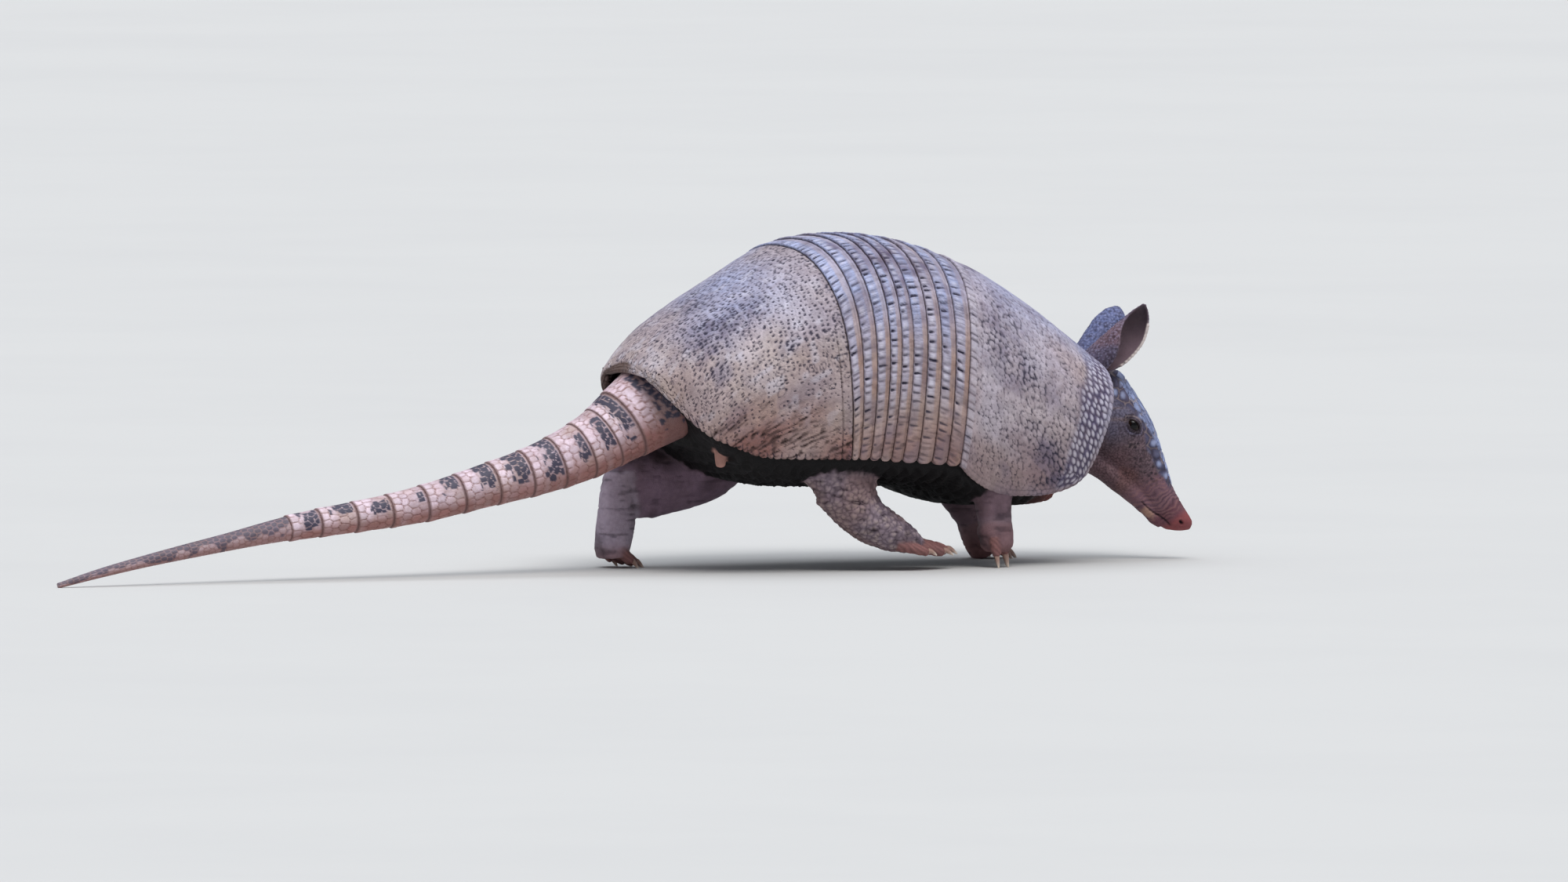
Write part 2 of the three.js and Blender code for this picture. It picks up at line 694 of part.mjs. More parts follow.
// One bony ring: narrow where it slips under the ring before it, flared at its rear edge.
function tailSegment( i, body ) {

	const [ x0, z0, r0 ] = TAIL_EDGES[ i - 1 ];
	const [ x1, z1, r1 ] = TAIL_EDGES[ i ];
	const length = Math.hypot( x1 - x0, z1 - z0 );
	const slope0 = tailSlope( TAIL_EDGES, i - 1 );
	const slope1 = tailSlope( TAIL_EDGES, i );
	const wide = i === 1 ? TAIL_BASE_WIDTH : 1;
	const at = ( share, extra ) => {

		const radius = r0 + ( r1 - r0 ) * share + extra;
		return tailRing(
			x0 + ( x1 - x0 ) * share,
			z0 + ( z1 - z0 ) * share,
			radius * ( wide + ( 1 - wide ) * share ),
			radius,
			slope0 + ( slope1 - slope0 ) * share,
		);

	};
	const margin = GAP / 2 / length;
	const rings = [ at( margin, 0 ), at( FLARE_START, TAIL_SWELL ), at( 1 - margin, TAIL_FLARE ) ];
	const segment = loftBody( rings );
	return i === 1 ? cut( segment, ...body ) : segment;

}

function tailTip( first, last ) {

	const rings = [];
	for ( let i = first; i <= last; i ++ ) {

		const [ x, z, radius ] = TAIL_TIPS[ i ];
		const slope = tailSlope( TAIL_TIPS, i );
		const shift = ( i === first ? - GAP : 0 ) * 1.5;
		rings.push( tailRing( x + shift, z, radius, radius, slope ) );

	}

	return loftBody( rings );

}

// ---------------------------------------------------------------- head

function placeHead( geometry ) {

	geometry.rotateZ( HEAD_YAW );
	geometry.translate( HEAD_PIVOT_X, 0, 0 );
	return geometry;

}

// Point of a head section: angle 0 is the top, 180 the underside; grow moves it outwards.
function headPoint( ring, angle, grow ) {

	const [ topX, topZ, lowX, lowZ, halfWidth, fullness ] = ring;
	const middle = new THREE.Vector3( ( topX + lowX ) / 2, 0, ( topZ + lowZ ) / 2 );
	const up = new THREE.Vector3( ( topX - lowX ) / 2, 0, ( topZ - lowZ ) / 2 );
	const half = up.length();
	const shift = fullness * 0.08 * half * Math.sin( angle ) ** 2;
	return middle
		.addScaledVector( up.normalize(), ( half + grow ) * Math.cos( angle ) + shift )
		.setY( ( halfWidth + grow ) * Math.sin( angle ) );

}

// The bare head lies under its shield, so the sections that carry it are lower at the top.
function headRings( grow ) {

	const lowering = SHIELD_THICKNESS + GAP;
	return HEAD_RINGS.map( ( ring, i ) => {

		const shielded = i >= SHIELD_FIRST_RING && i <= SHIELD_LAST_RING;
		return Array.from( { length: HEAD_POINTS }, ( _, j ) => {

			const angle = 2 * Math.PI * j / HEAD_POINTS;
			const point = headPoint( ring, angle, grow );
			const drop = shielded ? lowering * Math.max( 0, Math.cos( angle ) ) ** 0.5 : 0;
			return point.sub( headPoint( ring, angle, drop ).sub( headPoint( ring, angle, 0 ) ) );

		} );

	} );

}

function headShield() {

	const rows = HEAD_RINGS.slice( SHIELD_FIRST_RING, SHIELD_LAST_RING + 1 );
	const layer = ( depth ) => rows.map( ( ring, i ) => Array.from(
		{ length: SHIELD_COLUMNS },
		( _, j ) => {

			const half = THREE.MathUtils.degToRad( SHIELD_HALF_ANGLES[ i ] );
			const angle = half * ( 2 * j / ( SHIELD_COLUMNS - 1 ) - 1 );
			const drop = depth * Math.cos( angle ) ** 0.5;
			return headPoint( ring, angle, - drop );

		},
	) );
	return slabBody( layer( - 0.25 ), layer( SHIELD_THICKNESS - 0.25 ) );

}

function jawRings() {

	return JAW_RINGS.map( ( [ topX, topZ, lowX, lowZ, halfWidth ] ) => Array.from(
		{ length: JAW_POINTS },
		( _, j ) => headPoint( [ topX, topZ, lowX, lowZ, halfWidth, 1 ], 2 * Math.PI * j / JAW_POINTS, 0 ),
	) );

}

function eyeball( side, grow ) {

	const geometry = new THREE.SphereGeometry( EYE_RADIUS + grow, EYE_SEGMENTS, EYE_RINGS );
	geometry.translate( EYE_CENTRE[ 0 ], side * EYE_CENTRE[ 1 ], EYE_CENTRE[ 2 ] );
	return weld( geometry );

}

// A tulip-shaped ear: a tube at the root whose outer side opens wider towards the tip.
function ear( stations, side ) {

	const centres = stations.map( ( [ x, y, z ] ) => new THREE.Vector3( x, y, z ) );
	const outward = new THREE.Vector3( 0, side, 0 );
	const layer = ( depth ) => stations.map( ( [ , , , radius, front, rear ], i ) => {

		const before = centres[ Math.max( i - 1, 0 ) ];
		const after = centres[ Math.min( i + 1, centres.length - 1 ) ];
		const axis = after.clone().sub( before ).normalize();
		const lateral = outward.clone().addScaledVector( axis, - outward.dot( axis ) ).normalize();
		const ahead = lateral.clone().cross( axis ).multiplyScalar( side ).normalize();
		const wall = Math.min( depth, radius * 0.5 );
		return Array.from( { length: EAR_COLUMNS }, ( _, j ) => {

			const share = j / ( EAR_COLUMNS - 1 );
			const angle = THREE.MathUtils.degToRad( rear + ( 360 + front - rear ) * share );
			return centres[ i ].clone()
				.addScaledVector( ahead, ( radius - wall ) * Math.cos( angle ) )
				.addScaledVector( lateral, ( radius - wall ) * Math.sin( angle ) );

		} );

	} );
	return slabBody( layer( 0 ), layer( EAR_WALL ) );

}

// ---------------------------------------------------------------- neck, limbs, feet

function neckRings( grow ) {

	return NECK_RINGS.map( ( [ x, y, z, halfHeight, halfWidth ] ) => Array.from(
		{ length: HEAD_POINTS },
		( _, j ) => {

			const angle = 2 * Math.PI * j / HEAD_POINTS;
			return new THREE.Vector3(
				x,
				y + ( halfWidth + grow ) * Math.sin( angle ),
				z + ( halfHeight + grow ) * Math.cos( angle ),
			);

		},
	) );

}

// Oval sections across a path that runs down a leg.
function limbRings( stations, grow ) {

	const centres = stations.map( ( [ x, y, z ] ) => new THREE.Vector3( x, y, z ) );
	return stations.map( ( [ , , , halfDepth, halfWidth ], i ) => {

		const before = centres[ Math.max( i - 1, 0 ) ];
		const after = centres[ Math.min( i + 1, centres.length - 1 ) ];
		const along = after.clone().sub( before ).normalize();
		const deep = new THREE.Vector3( 0, 1, 0 ).cross( along ).normalize();
		const wide = along.clone().cross( deep ).normalize();
		return Array.from( { length: LIMB_POINTS }, ( _, j ) => {

			const angle = 2 * Math.PI * j / LIMB_POINTS;
			return centres[ i ].clone()
				.addScaledVector( deep, ( halfDepth + grow ) * Math.cos( angle ) )
				.addScaledVector( wide, ( halfWidth + grow ) * Math.sin( angle ) );

		} );

	} );

}

function footRings( stations ) {

	return stations.map( ( [ backX, backZ, soleX, soleZ, y, halfWidth ] ) => Array.from(
		{ length: FOOT_POINTS },
		( _, j ) => {

			const angle = 2 * Math.PI * j / FOOT_POINTS;
			const share = ( 1 + Math.cos( angle ) ) / 2;
			return new THREE.Vector3(
				soleX + ( backX - soleX ) * share,
				y + halfWidth * Math.sin( angle ),
				soleZ + ( backZ - soleZ ) * share,
			);

		},
	) );

}

// Round sections of changing radius along a row of centres.
function taperBody( centres, radii, count ) {

	const rings = centres.map( ( centre, i ) => {

		const before = centres[ Math.max( i - 1, 0 ) ];
		const after = centres[ Math.min( i + 1, centres.length - 1 ) ];
		const along = after.clone().sub( before ).normalize();
		const first = Math.abs( along.y ) > 0.9 ? new THREE.Vector3( 1, 0, 0 ) : new THREE.Vector3( 0, 1, 0 );
		const u = first.cross( along ).normalize();
		const v = along.clone().cross( u );
		return Array.from( { length: count }, ( _, j ) => {

			const angle = 2 * Math.PI * j / count;
			return centre.clone()
				.addScaledVector( u, radii[ i ] * Math.cos( angle ) )
				.addScaledVector( v, radii[ i ] * Math.sin( angle ) );

		} );

	} );
	return loftBody( rings );

}

function toeBody( toe, grow ) {

	const root = new THREE.Vector3( toe[ 0 ], toe[ 1 ], toe[ 2 ] );
	const end = new THREE.Vector3( toe[ 3 ], toe[ 4 ], toe[ 5 ] );
	const middle = root.clone().lerp( end, 0.6 );
	const tip = end.clone().add( end.clone().sub( root ).normalize().multiplyScalar( grow ) );
	return taperBody(
		[ root, middle, tip ],
		[ toe[ 6 ] + grow, ( toe[ 6 ] + toe[ 7 ] ) / 2 + grow, toe[ 7 ] + grow ],
		TOE_POINTS,
	);

}

// A claw that leaves the toe's end and arches down to its tip.
function clawBody( toe ) {

	const root = new THREE.Vector3( toe[ 3 ], toe[ 4 ], toe[ 5 ] );
	const along = root.clone().sub( new THREE.Vector3( toe[ 0 ], toe[ 1 ], toe[ 2 ] ) ).normalize();
	const tip = new THREE.Vector3( toe[ 8 ], toe[ 9 ], toe[ 10 ] );
	root.addScaledVector( along, CLAW_GAP );
	const arch = CLAW_ARCH * tip.distanceTo( root );
	const radius = toe[ 7 ] * CLAW_RADIUS;
	const middle = root.clone().lerp( tip, 0.45 ).addScaledVector( along, arch );
	const late = root.clone().lerp( tip, 0.8 ).addScaledVector( along, arch * 0.6 );
	return taperBody(
		[ root, middle, late, tip ],
		[ radius, radius * 0.78, radius * 0.45, CLAW_TIP_RADIUS ],
		CLAW_POINTS,
	);

}

// ---------------------------------------------------------------- assembly

const armadillo = new THREE.Group();
armadillo.name = 'armadillo';

function place( name, geometry, colour ) {

	const mesh = new THREE.Mesh( geometry, finish( colour ) );
	mesh.name = name;
	armadillo.add( mesh );
	return mesh;

}

const pelvicLast = PELVIC_HOOPS.length - 1;
const bandLast = pelvicLast + BAND_HOOPS.length - 1;

function buildShell() {

	place( 'pelvic_shield', shellPlate( 0, pelvicLast, 0 ), 'pelvic' );
	for ( let i = 1; i < BAND_HOOPS.length; i ++ ) {

		const plate = shellPlate( pelvicLast + i - 1, pelvicLast + i, BAND_STEP );
		place( `band_${ i }`, plate, 'band' );

	}

	place( 'scapular_shield', shellPlate( bandLast, ALL_HOOPS.length - 1, BAND_STEP ), 'scapular' );

}

function buildTrunk() {

	const base = new THREE.Vector3( ...TEAT_BASE );
	const tip = new THREE.Vector3( ...TEAT_TIP );
	const middle = base.clone().lerp( tip, 0.6 );
	const radii = [ TEAT_BASE_RADIUS, TEAT_BASE_RADIUS, TEAT_TIP_RADIUS ];
	const teat = taperBody( [ base, middle, tip ], radii, CLAW_POINTS );
	place( 'trunk', join( loftBody( trunkRings( PLATE + TRUNK_GAP ) ), teat ), 'skin' );

}

function buildTail( body ) {

	for ( let i = 1; i < TAIL_EDGES.length; i ++ ) {

		place( `tail_ring_${ i }`, tailSegment( i, body ), 'tail' );

	}

	place( 'tail_tip_1', tailTip( 0, TIP_SPLIT ), 'tailTip' );
	place( 'tail_tip_2', standOnGround( tailTip( TIP_SPLIT, TAIL_TIPS.length - 1 ) ), 'tailTip' );

}

function buildHead( body ) {

	const skull = loftBody( headRings( 0 ) );
	const skullRoom = loftBody( headRings( GAP ) );
	const sockets = [ eyeball( - 1, GAP ), eyeball( 1, GAP ) ];
	place( 'head', cut( placeHead( cut( skull, ...sockets ) ), shell ), 'head' );
	place( 'jaw', placeHead( cut( loftBody( jawRings() ), skullRoom ) ), 'head' );
	place( 'head_shield', placeHead( headShield() ), 'headShield' );
	place( 'ear_right', cut( placeHead( cut( ear( EAR_RIGHT, - 1 ), skullRoom ) ), shell ), 'ear' );
	place( 'ear_left', cut( placeHead( cut( ear( EAR_LEFT, 1 ), skullRoom ) ), shell ), 'ear' );
	place( 'eye_right', placeHead( eyeball( - 1, 0 ) ), 'eye' );
	place( 'eye_left', placeHead( eyeball( 1, 0 ) ), 'eye' );
	const jawRoom = placeHead( loftBody( jawRings() ) );
	const neck = cut( loftBody( neckRings( 0 ) ), ...body, placeHead( skullRoom ), jawRoom );
	place( 'neck', neck, 'skin' );

}

function buildLimb( side, legStations, footStations, toes, rooms ) {

	const claws = toes.map( ( toe ) => standOnGround( clawBody( toe ) ) );
	const limb = cut( loftBody( limbRings( legStations, 0 ) ), ...rooms );
	const room = loftBody( limbRings( legStations, GAP ) );
	const paw = join( loftBody( footRings( footStations ) ), ...toes.map( ( toe ) => toeBody( toe, 0 ) ) );
	const clawColour = side.startsWith( 'hind' ) ? 'hindClaw' : 'foreClaw';
	place( side.replace( '_', '_leg_' ), limb, 'leg' );
	place( side.replace( '_', '_foot_' ), standOnGround( cut( paw, room ) ), 'leg' );
	claws.forEach( ( claw, k ) => place( `${ side.replace( '_', '_claw_' ) }_${ k + 1 }`, claw, clawColour ) );

}

function buildLimbs( rooms ) {

	buildLimb( 'hind_right', HIND_LEG_RIGHT, HIND_FOOT_RIGHT, HIND_TOES_RIGHT, rooms );
	buildLimb( 'hind_left', HIND_LEG_LEFT, HIND_FOOT_LEFT, HIND_TOES_LEFT, rooms );
	buildLimb( 'fore_right', FORE_LEG_RIGHT, FORE_FOOT_RIGHT, FORE_TOES_RIGHT, rooms );
	buildLimb( 'fore_left', FORE_LEG_LEFT, FORE_FOOT_LEFT, FORE_TOES_LEFT, rooms );

}

// Move the whole animal so that the middle of its box stands over the origin.
function centre() {

	for ( const mesh of armadillo.children ) mesh.geometry.translate( FORWARD_SHIFT, 0, 0 );

}

const shell = shellRoom();
const trunkRoom = loftBody( trunkRings( PLATE + TRUNK_GAP - GAP ) );
const bodyRooms = [ trunkRoom, shell ];
buildShell();
buildTrunk();
buildTail( bodyRooms );
buildHead( bodyRooms );
buildLimbs( bodyRooms );
centre();

export default armadillo;
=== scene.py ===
"""Looks of a nine-banded armadillo, life size, walking with its nose to the ground.

Tables are in millimetres in the animal's own frame: +X forward, +Y its left, +Z up, with the
ground at z = 0. `to_metres` brings them to the shared frame.
"""

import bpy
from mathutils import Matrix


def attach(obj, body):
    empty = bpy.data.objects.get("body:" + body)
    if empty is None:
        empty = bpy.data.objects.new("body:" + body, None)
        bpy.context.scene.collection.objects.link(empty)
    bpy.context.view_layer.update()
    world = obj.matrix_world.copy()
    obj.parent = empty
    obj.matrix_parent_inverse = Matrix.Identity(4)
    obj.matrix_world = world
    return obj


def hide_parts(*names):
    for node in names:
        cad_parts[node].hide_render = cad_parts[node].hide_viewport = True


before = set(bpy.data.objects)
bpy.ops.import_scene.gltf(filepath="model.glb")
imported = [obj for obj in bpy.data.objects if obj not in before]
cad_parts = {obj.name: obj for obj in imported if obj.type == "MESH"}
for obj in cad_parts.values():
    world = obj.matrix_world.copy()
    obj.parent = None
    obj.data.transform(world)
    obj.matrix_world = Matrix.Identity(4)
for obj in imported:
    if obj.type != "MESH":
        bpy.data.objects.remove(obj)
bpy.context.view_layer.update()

import logging
import math
from collections.abc import Callable
from dataclasses import dataclass
from enum import Enum

import bmesh
import bpy
import numpy as np
from mathutils import Vector
from mathutils.kdtree import KDTree

LOG = logging.getLogger("armadillo")
Array = np.ndarray
Object = bpy.types.Object
Colour = tuple[int, int, int]
Table = list[list[float]]
Lay = Callable[[Colour, Array], None]
FORWARD_SHIFT = 4.0

# ------------ shell tables
# One hoop a row: top x, top z, margin x, margin half-width, margin z, widest half-width,
# height share of the widest point, bow.
PELVIC = [
    [-4, 112.6, -0.8, 27, 107.4, 27.4, 0.05, 1],
    [-2, 117.4, 2.6, 39, 100.6, 39.4, 0.14, 1.3],
    [3.2, 124.4, 7.6, 44.6, 94.4, 45.4, 0.24, 1.6],
    [12, 132.2, 13, 51, 87, 52, 0.33, 1.6],
    [23.5, 141.2, 22.3, 58.5, 78, 60.5, 0.40, 1.6],
    [42, 152.6, 36.3, 63.5, 71.3, 69, 0.43, 1.6],
    [61.5, 163.6, 56, 67.5, 65, 75.6, 0.45, 1.4],
    [93.5, 181.8, 106.1, 69.5, 63.2, 80, 0.46, 1],
]
BANDS = [
    [93.5, 181.8, 106.1, 69.5, 63.2, 80, 0.46, 1],
    [104.9, 185.2, 110.9, 69, 63, 80, 0.46, 1],
    [115.8, 186.9, 117.8, 68.5, 62.6, 80, 0.46, 1.1],
    [126.2, 187.5, 124.6, 68, 62.1, 80, 0.46, 1.4],
    [134.8, 187.4, 131, 68, 61.5, 80, 0.46, 1.5],
    [142.4, 186.9, 138.1, 68, 61, 80, 0.46, 1.6],
    [153.4, 185.4, 147.3, 68, 60.2, 80, 0.46, 2.4],
    [163, 183.4, 156.5, 68, 59.4, 79.8, 0.46, 3.2],
    [175.2, 180, 165.7, 68, 58.6, 79.4, 0.46, 3.8],
    [188.6, 175.2, 174.1, 68, 57.7, 78.8, 0.46, 3.6],
]
SCAPULAR = [
    [188.6, 175.2, 174.1, 68, 57.7, 78.8, 0.46, 3.6],
    [205, 168.8, 184.5, 62, 50.5, 78.2, 0.46, 3.2],
    [220.4, 160.3, 198, 56, 43.4, 76.2, 0.46, 2.5],
    [236, 150.4, 214, 52, 39.2, 73, 0.46, 1.9],
    [249.1, 141.2, 231, 50, 38.8, 69.5, 0.47, 1.5],
    [261.5, 131.8, 245.5, 49, 40.6, 65.8, 0.48, 1.2],
    [273, 122.9, 256.5, 48, 44.4, 62, 0.49, 1.1],
    [283.6, 114.7, 264, 47.5, 50, 58.6, 0.50, 1],
]
SQUARENESS = 0.88
SIDE_SHARE = 0.38
FULL_SIDE = 0.46
# Dark and bare clouds on the shell's right side: x, y, z and radius of each.
DARK_CLOUDS = [
    [36, -48, 139, 11], [22, -44, 130, 10], [30, -63, 117, 6], [53, -50, 149, 8], [39, 10, 150, 9],
    [66, -74, 129, 6], [198, -73, 127, 8], [209, -62, 139, 8], [213, -73, 111, 7],
    [230, -66, 65, 7], [241, -58, 53, 6], [201, -27, 167, 8], [128, -48, 176, 12], [155, -52, 170, 9],
]
BARE_CLOUDS = [
    [41, -65, 127, 9], [66, -55, 153, 9], [74, -67, 145, 9], [186, -78, 108, 9], [220, -70, 115, 7],
    [54, -74, 117, 9], [4, -25, 122, 9], [189, -75, 83, 12],
]
BELLY_LINE = [
    [34, 71], [46, 61], [62, 51.5], [84, 47.6], [106.6, 47], [113.2, 47.5],
    [119.6, 47.3], [125.4, 47.2], [132.8, 47], [140.1, 46.8], [147.9, 46.6], [157.2, 46],
    [166.5, 44.8], [175.4, 41.2], [184.5, 37.6], [198.5, 34.6], [214.5, 34], [231, 33.4],
    [245.5, 34.6],
]
FIRST_TRUNK_HOOP = 3
TRUNK_INSET = 3.9

# ------------ tail tables
TAIL_EDGES = [
    [20, 97, 25.5], [-3, 83, 20.9], [-15.2, 75.6, 18.4], [-29.2, 68.6, 16.8],
    [-45.8, 62.2, 15.1], [-64.4, 56.5, 13.5], [-84.5, 51.6, 12.3], [-105.3, 46.4, 11.2],
    [-127.5, 41.4, 10.3], [-148.8, 37.8, 9.3], [-170.4, 34.9, 8.6], [-192.2, 32.2, 7.9],
    [-210.8, 29.6, 7.1],
]
# Dark scutes of each ring: degrees from the top, half-spread in degrees, share of its length.
TAIL_CLOUDS = [
    [60, 42, 0.42], [38, 48, 0.48], [66, 24, 0.40], [70, 26, 0.34], [44, 52, 0.50], [40, 48, 0.52],
    [36, 44, 0.48], [26, 36, 0.44], [56, 20, 0.30], [62, 24, 0.56], [20, 30, 0.60], [54, 40, 0.60],
]
TAIL_TIPS = [
    [-210.8, 29.6, 6.8], [-228, 26.6, 5.9], [-247, 23, 5], [-272, 18.4, 4.2],
    [-297, 13.6, 3.4], [-325, 7.6, 2.6], [-351, 1.2, 1.5],
]
TIP_SPLIT = 3
TAIL_BASE_WIDTH = 1.12

# ------------ head tables
# In the head's own frame, which turns about a pivot in the neck.
HEAD_PIVOT_X = 278.0
HEAD_YAW = math.radians(-16.0)
# Top x, top z, underside x, underside z, half-width.
HEAD_RINGS = [
    [68.8, 21.4, 67.2, 16.6, 4.2], [67.4, 24.2, 61.5, 15.9, 6.2], [64.8, 28.4, 56, 16.6, 7.2],
    [61.6, 33.6, 51, 18.8, 7.9], [58.2, 40, 46.5, 24.3, 8.9], [55.5, 48.9, 42, 30, 10.4],
    [53.1, 56.8, 35.5, 38, 12.9], [50.7, 64.1, 28, 45.6, 16], [48.1, 71.9, 20, 53, 18.9],
    [44.9, 79.7, 12, 59.5, 20.8], [40.2, 87.9, 4.5, 64, 21.6], [34.4, 96.9, -1.5, 68, 20.8],
    [26, 107.2, -7, 72, 18.8], [13, 110, -12, 76, 17], [1, 106, -16, 80, 15],
]
SHIELD_ROWS = (4, 12)
SHIELD_HALF_ANGLES = [24, 34, 40, 44, 47, 50, 50, 48, 40]
JAW_RINGS = [
    [53, 22, 49.6, 17.8, 3.6], [50.5, 26.5, 45.4, 20.3, 5.4], [45.5, 34, 40.8, 25.2, 6.8],
    [38.5, 42, 32, 32.6, 9.2], [31, 50, 22.8, 39.6, 11.6], [23, 57, 13.9, 46.4, 13.6],
    [14, 64, 4, 51.6, 14.6],
]
EYE_CENTRE = (31.6, 17.6, 76.8)
EYE_RADIUS = 4.5
# Ear stations from root to tip: x, y, z, radius, front angle, rear angle.
EAR_RIGHT = [
    [4, -12, 106.5, 7, 12, 22], [11.4, -14.8, 112.8, 8.8, 12, 34],
    [21, -18, 119.6, 10.4, 12, 74], [28, -20.6, 127, 9.9, 8, 120],
    [32.4, -22.8, 134, 7.8, 4, 160], [35, -24.6, 140.2, 5, 0, 190],
    [36.6, -26, 145.4, 1.3, 0, 215],
]
EAR_LEFT = [
    [5, 12, 106.5, 7, 12, 22], [11, 15, 113.4, 8.6, 12, 34],
    [18, 18, 120.8, 10, 12, 74], [23.4, 20.6, 128.2, 9.8, 8, 120],
    [27, 22.4, 134.2, 8.2, 4, 160], [29, 23.6, 138.8, 5.8, 0, 190],
    [30.2, 24.2, 142, 1.9, 0, 215],
]
NECK_RINGS = [
    [252, 0, 82, 31, 40], [262, 0, 79.5, 30.5, 37],
    [272, 0.5, 78, 27.5, 31], [281, 0.5, 78.5, 23.5, 24],
]

# ------------ limb tables
# Legs: x, y, z, half-depth, half-width. Feet: back x, back z, sole x, sole z, y, half-width.
# Toes: root x y z, end x y z, root radius, end radius, claw tip x y z.
LEGS = {
    "hind_right": [
        [103, -43, 78, 24, 16], [107.5, -46.5, 63, 23, 14.5],
        [110.5, -48.5, 53, 20.5, 12.8], [112.6, -49.5, 43.6, 18, 11.4],
    ],
    "hind_left": [
        [80, 38, 74, 25, 17], [68, 41, 57, 20.5, 15],
        [48, 43.5, 49.5, 19.2, 12.5], [33, 44.6, 47.4, 20.6, 11.5],
        [22.8, 45, 44, 17.6, 10.2],
    ],
    "fore_right": [
        [205, -40, 66, 16, 12.5], [205.5, -42.5, 52, 13.5, 11.5],
        [206.3, -44, 39, 10.8, 10], [207.2, -45, 25.5, 9.4, 9.6],
    ],
    "fore_left": [
        [215, 36, 62, 17, 12.5], [221, 37.5, 46, 14, 11.5],
        [229, 38.5, 33, 11.4, 10.2], [235.6, 39.5, 22.5, 9.8, 10],
    ],
}
FEET = {
    "hind_right": [
        [128, 48, 96, 47, -49.6, 9.6], [131.2, 42.6, 94.2, 39.4, -49.6, 10.6],
        [134.6, 37.6, 99, 34.6, -49.4, 11.2], [140, 34.2, 107.5, 26.6, -48.8, 12.2],
        [146.2, 29.8, 117.5, 19.6, -48.2, 13.2], [152.6, 25, 129, 14, -47.6, 13.9],
        [157, 20.8, 141, 10.8, -47.2, 12.6], [160, 17.4, 149, 9.6, -47, 10.2],
    ],
    "hind_left": [
        [29.6, 53, 8.6, 55, 45, 8.8], [28.2, 42, 5.8, 46, 45, 10],
        [26.2, 30, 4.4, 33, 45.2, 10.8], [24.2, 20, 3.4, 21, 45.6, 12.4],
        [22, 12.4, 3.4, 11.6, 46, 13.8], [20.4, 7.4, 5.4, 5, 46.2, 13.4],
    ],
    "fore_right": [
        [215.4, 29, 198.6, 29, -45, 8.8], [216.8, 25, 197.8, 25, -45, 9.6],
        [217.4, 19.6, 197.2, 19.6, -45.2, 10.8], [217.2, 14.6, 198.6, 14.6, -45.4, 11.2],
        [216.2, 11.2, 199.8, 11.2, -45.6, 10.4], [214.4, 8.8, 202.4, 8.8, -45.8, 8.4],
    ],
    "fore_left": [
        [242.6, 30, 226.4, 24.6, 39.4, 9], [245.6, 25, 226.8, 19, 39.6, 10],
        [248.2, 19, 229.6, 10.6, 40, 11], [249.8, 13.4, 233.4, 3.4, 40.2, 11.6],
        [250.4, 8.8, 237.6, -1.4, 40.4, 11.2],
    ],
}
TOES = {
    "hind_right": [
        [146, -38, 16, 160.4, -35, 12.4, 4, 3, 169.4, -34.2, 9.4],
        [153, -41.6, 15.4, 169.4, -41, 11.6, 4.4, 3.2, 179.8, -40.8, 8.6],
        [154, -47, 15.2, 171.6, -47, 11.4, 4.5, 3.3, 182.6, -47, 8.2],
        [151, -52.6, 14.6, 166.8, -53.4, 10.8, 4.3, 3.2, 176.8, -53.8, 8],
        [140, -57, 15, 154.4, -60.4, 11.4, 3.8, 2.9, 162.6, -61.8, 8.6],
    ],
    "hind_left": [
        [12, 36.2, 11, 16.6, 35.2, 6, 3.9, 3, 23.6, 34.6, -0.8],
        [13.4, 40.8, 10, 20.6, 40.4, 5, 4.2, 3.2, 29.6, 40.2, -0.8],
        [13.6, 46, 10, 21.4, 46, 4.9, 4.3, 3.3, 31.4, 46, -0.8],
        [13, 51.4, 10, 19.8, 52, 5, 4.2, 3.2, 28.4, 52.4, -0.8],
        [11.4, 56.4, 11, 15.6, 57.6, 6.2, 3.7, 2.9, 22, 58.6, -0.8],
    ],
    "fore_right": [
        [209.6, -38, 17, 210.8, -37.4, 11.6, 3.8, 3, 213, -37, -0.8],
        [211.6, -42.6, 17, 213, -42.4, 12.6, 4.1, 3.4, 216.4, -42.2, -0.8],
        [209.4, -48.2, 17, 210.6, -48.6, 12.4, 4.1, 3.4, 213.8, -49, -0.8],
        [203.4, -52.4, 17, 203.6, -53.4, 11, 3.7, 2.9, 205.2, -54.2, -0.8],
    ],
    "fore_left": [
        [243, 32.4, 7, 248.8, 31, 5, 3.9, 3, 255.6, 30, -0.8],
        [245, 37.6, 7.4, 251.8, 37, 5.4, 4.2, 3.4, 261.6, 36.4, -0.8],
        [244, 43.4, 7.4, 250.8, 43.8, 5.4, 4.2, 3.4, 260, 44.4, -0.8],
        [241, 48.4, 7, 246.4, 50, 5, 3.8, 3, 252.4, 51.6, -0.8],
    ],
}


# ------------ arithmetic
def rise(low: float, high: float, value: Array) -> Array:
    """Return 0 below low, 1 above high and a smooth rise between."""
    share = clip01((value - low) / (high - low))
    return share * share * (3.0 - 2.0 * share)


def fall(low: float, high: float, value: Array) -> Array:
    """Return 1 below low, 0 above high and a smooth fall between."""
    return 1.0 - rise(low, high, value)


def bell(value: Array, centre: float, width: float) -> Array:
    """Return 1 at the centre and a bell-shaped fall on both sides."""
    return np.exp(-((value - centre) / width) ** 2)


def clip01(value: Array) -> Array:
    """Keep values between 0 and 1."""
    return np.clip(value, 0, 1)


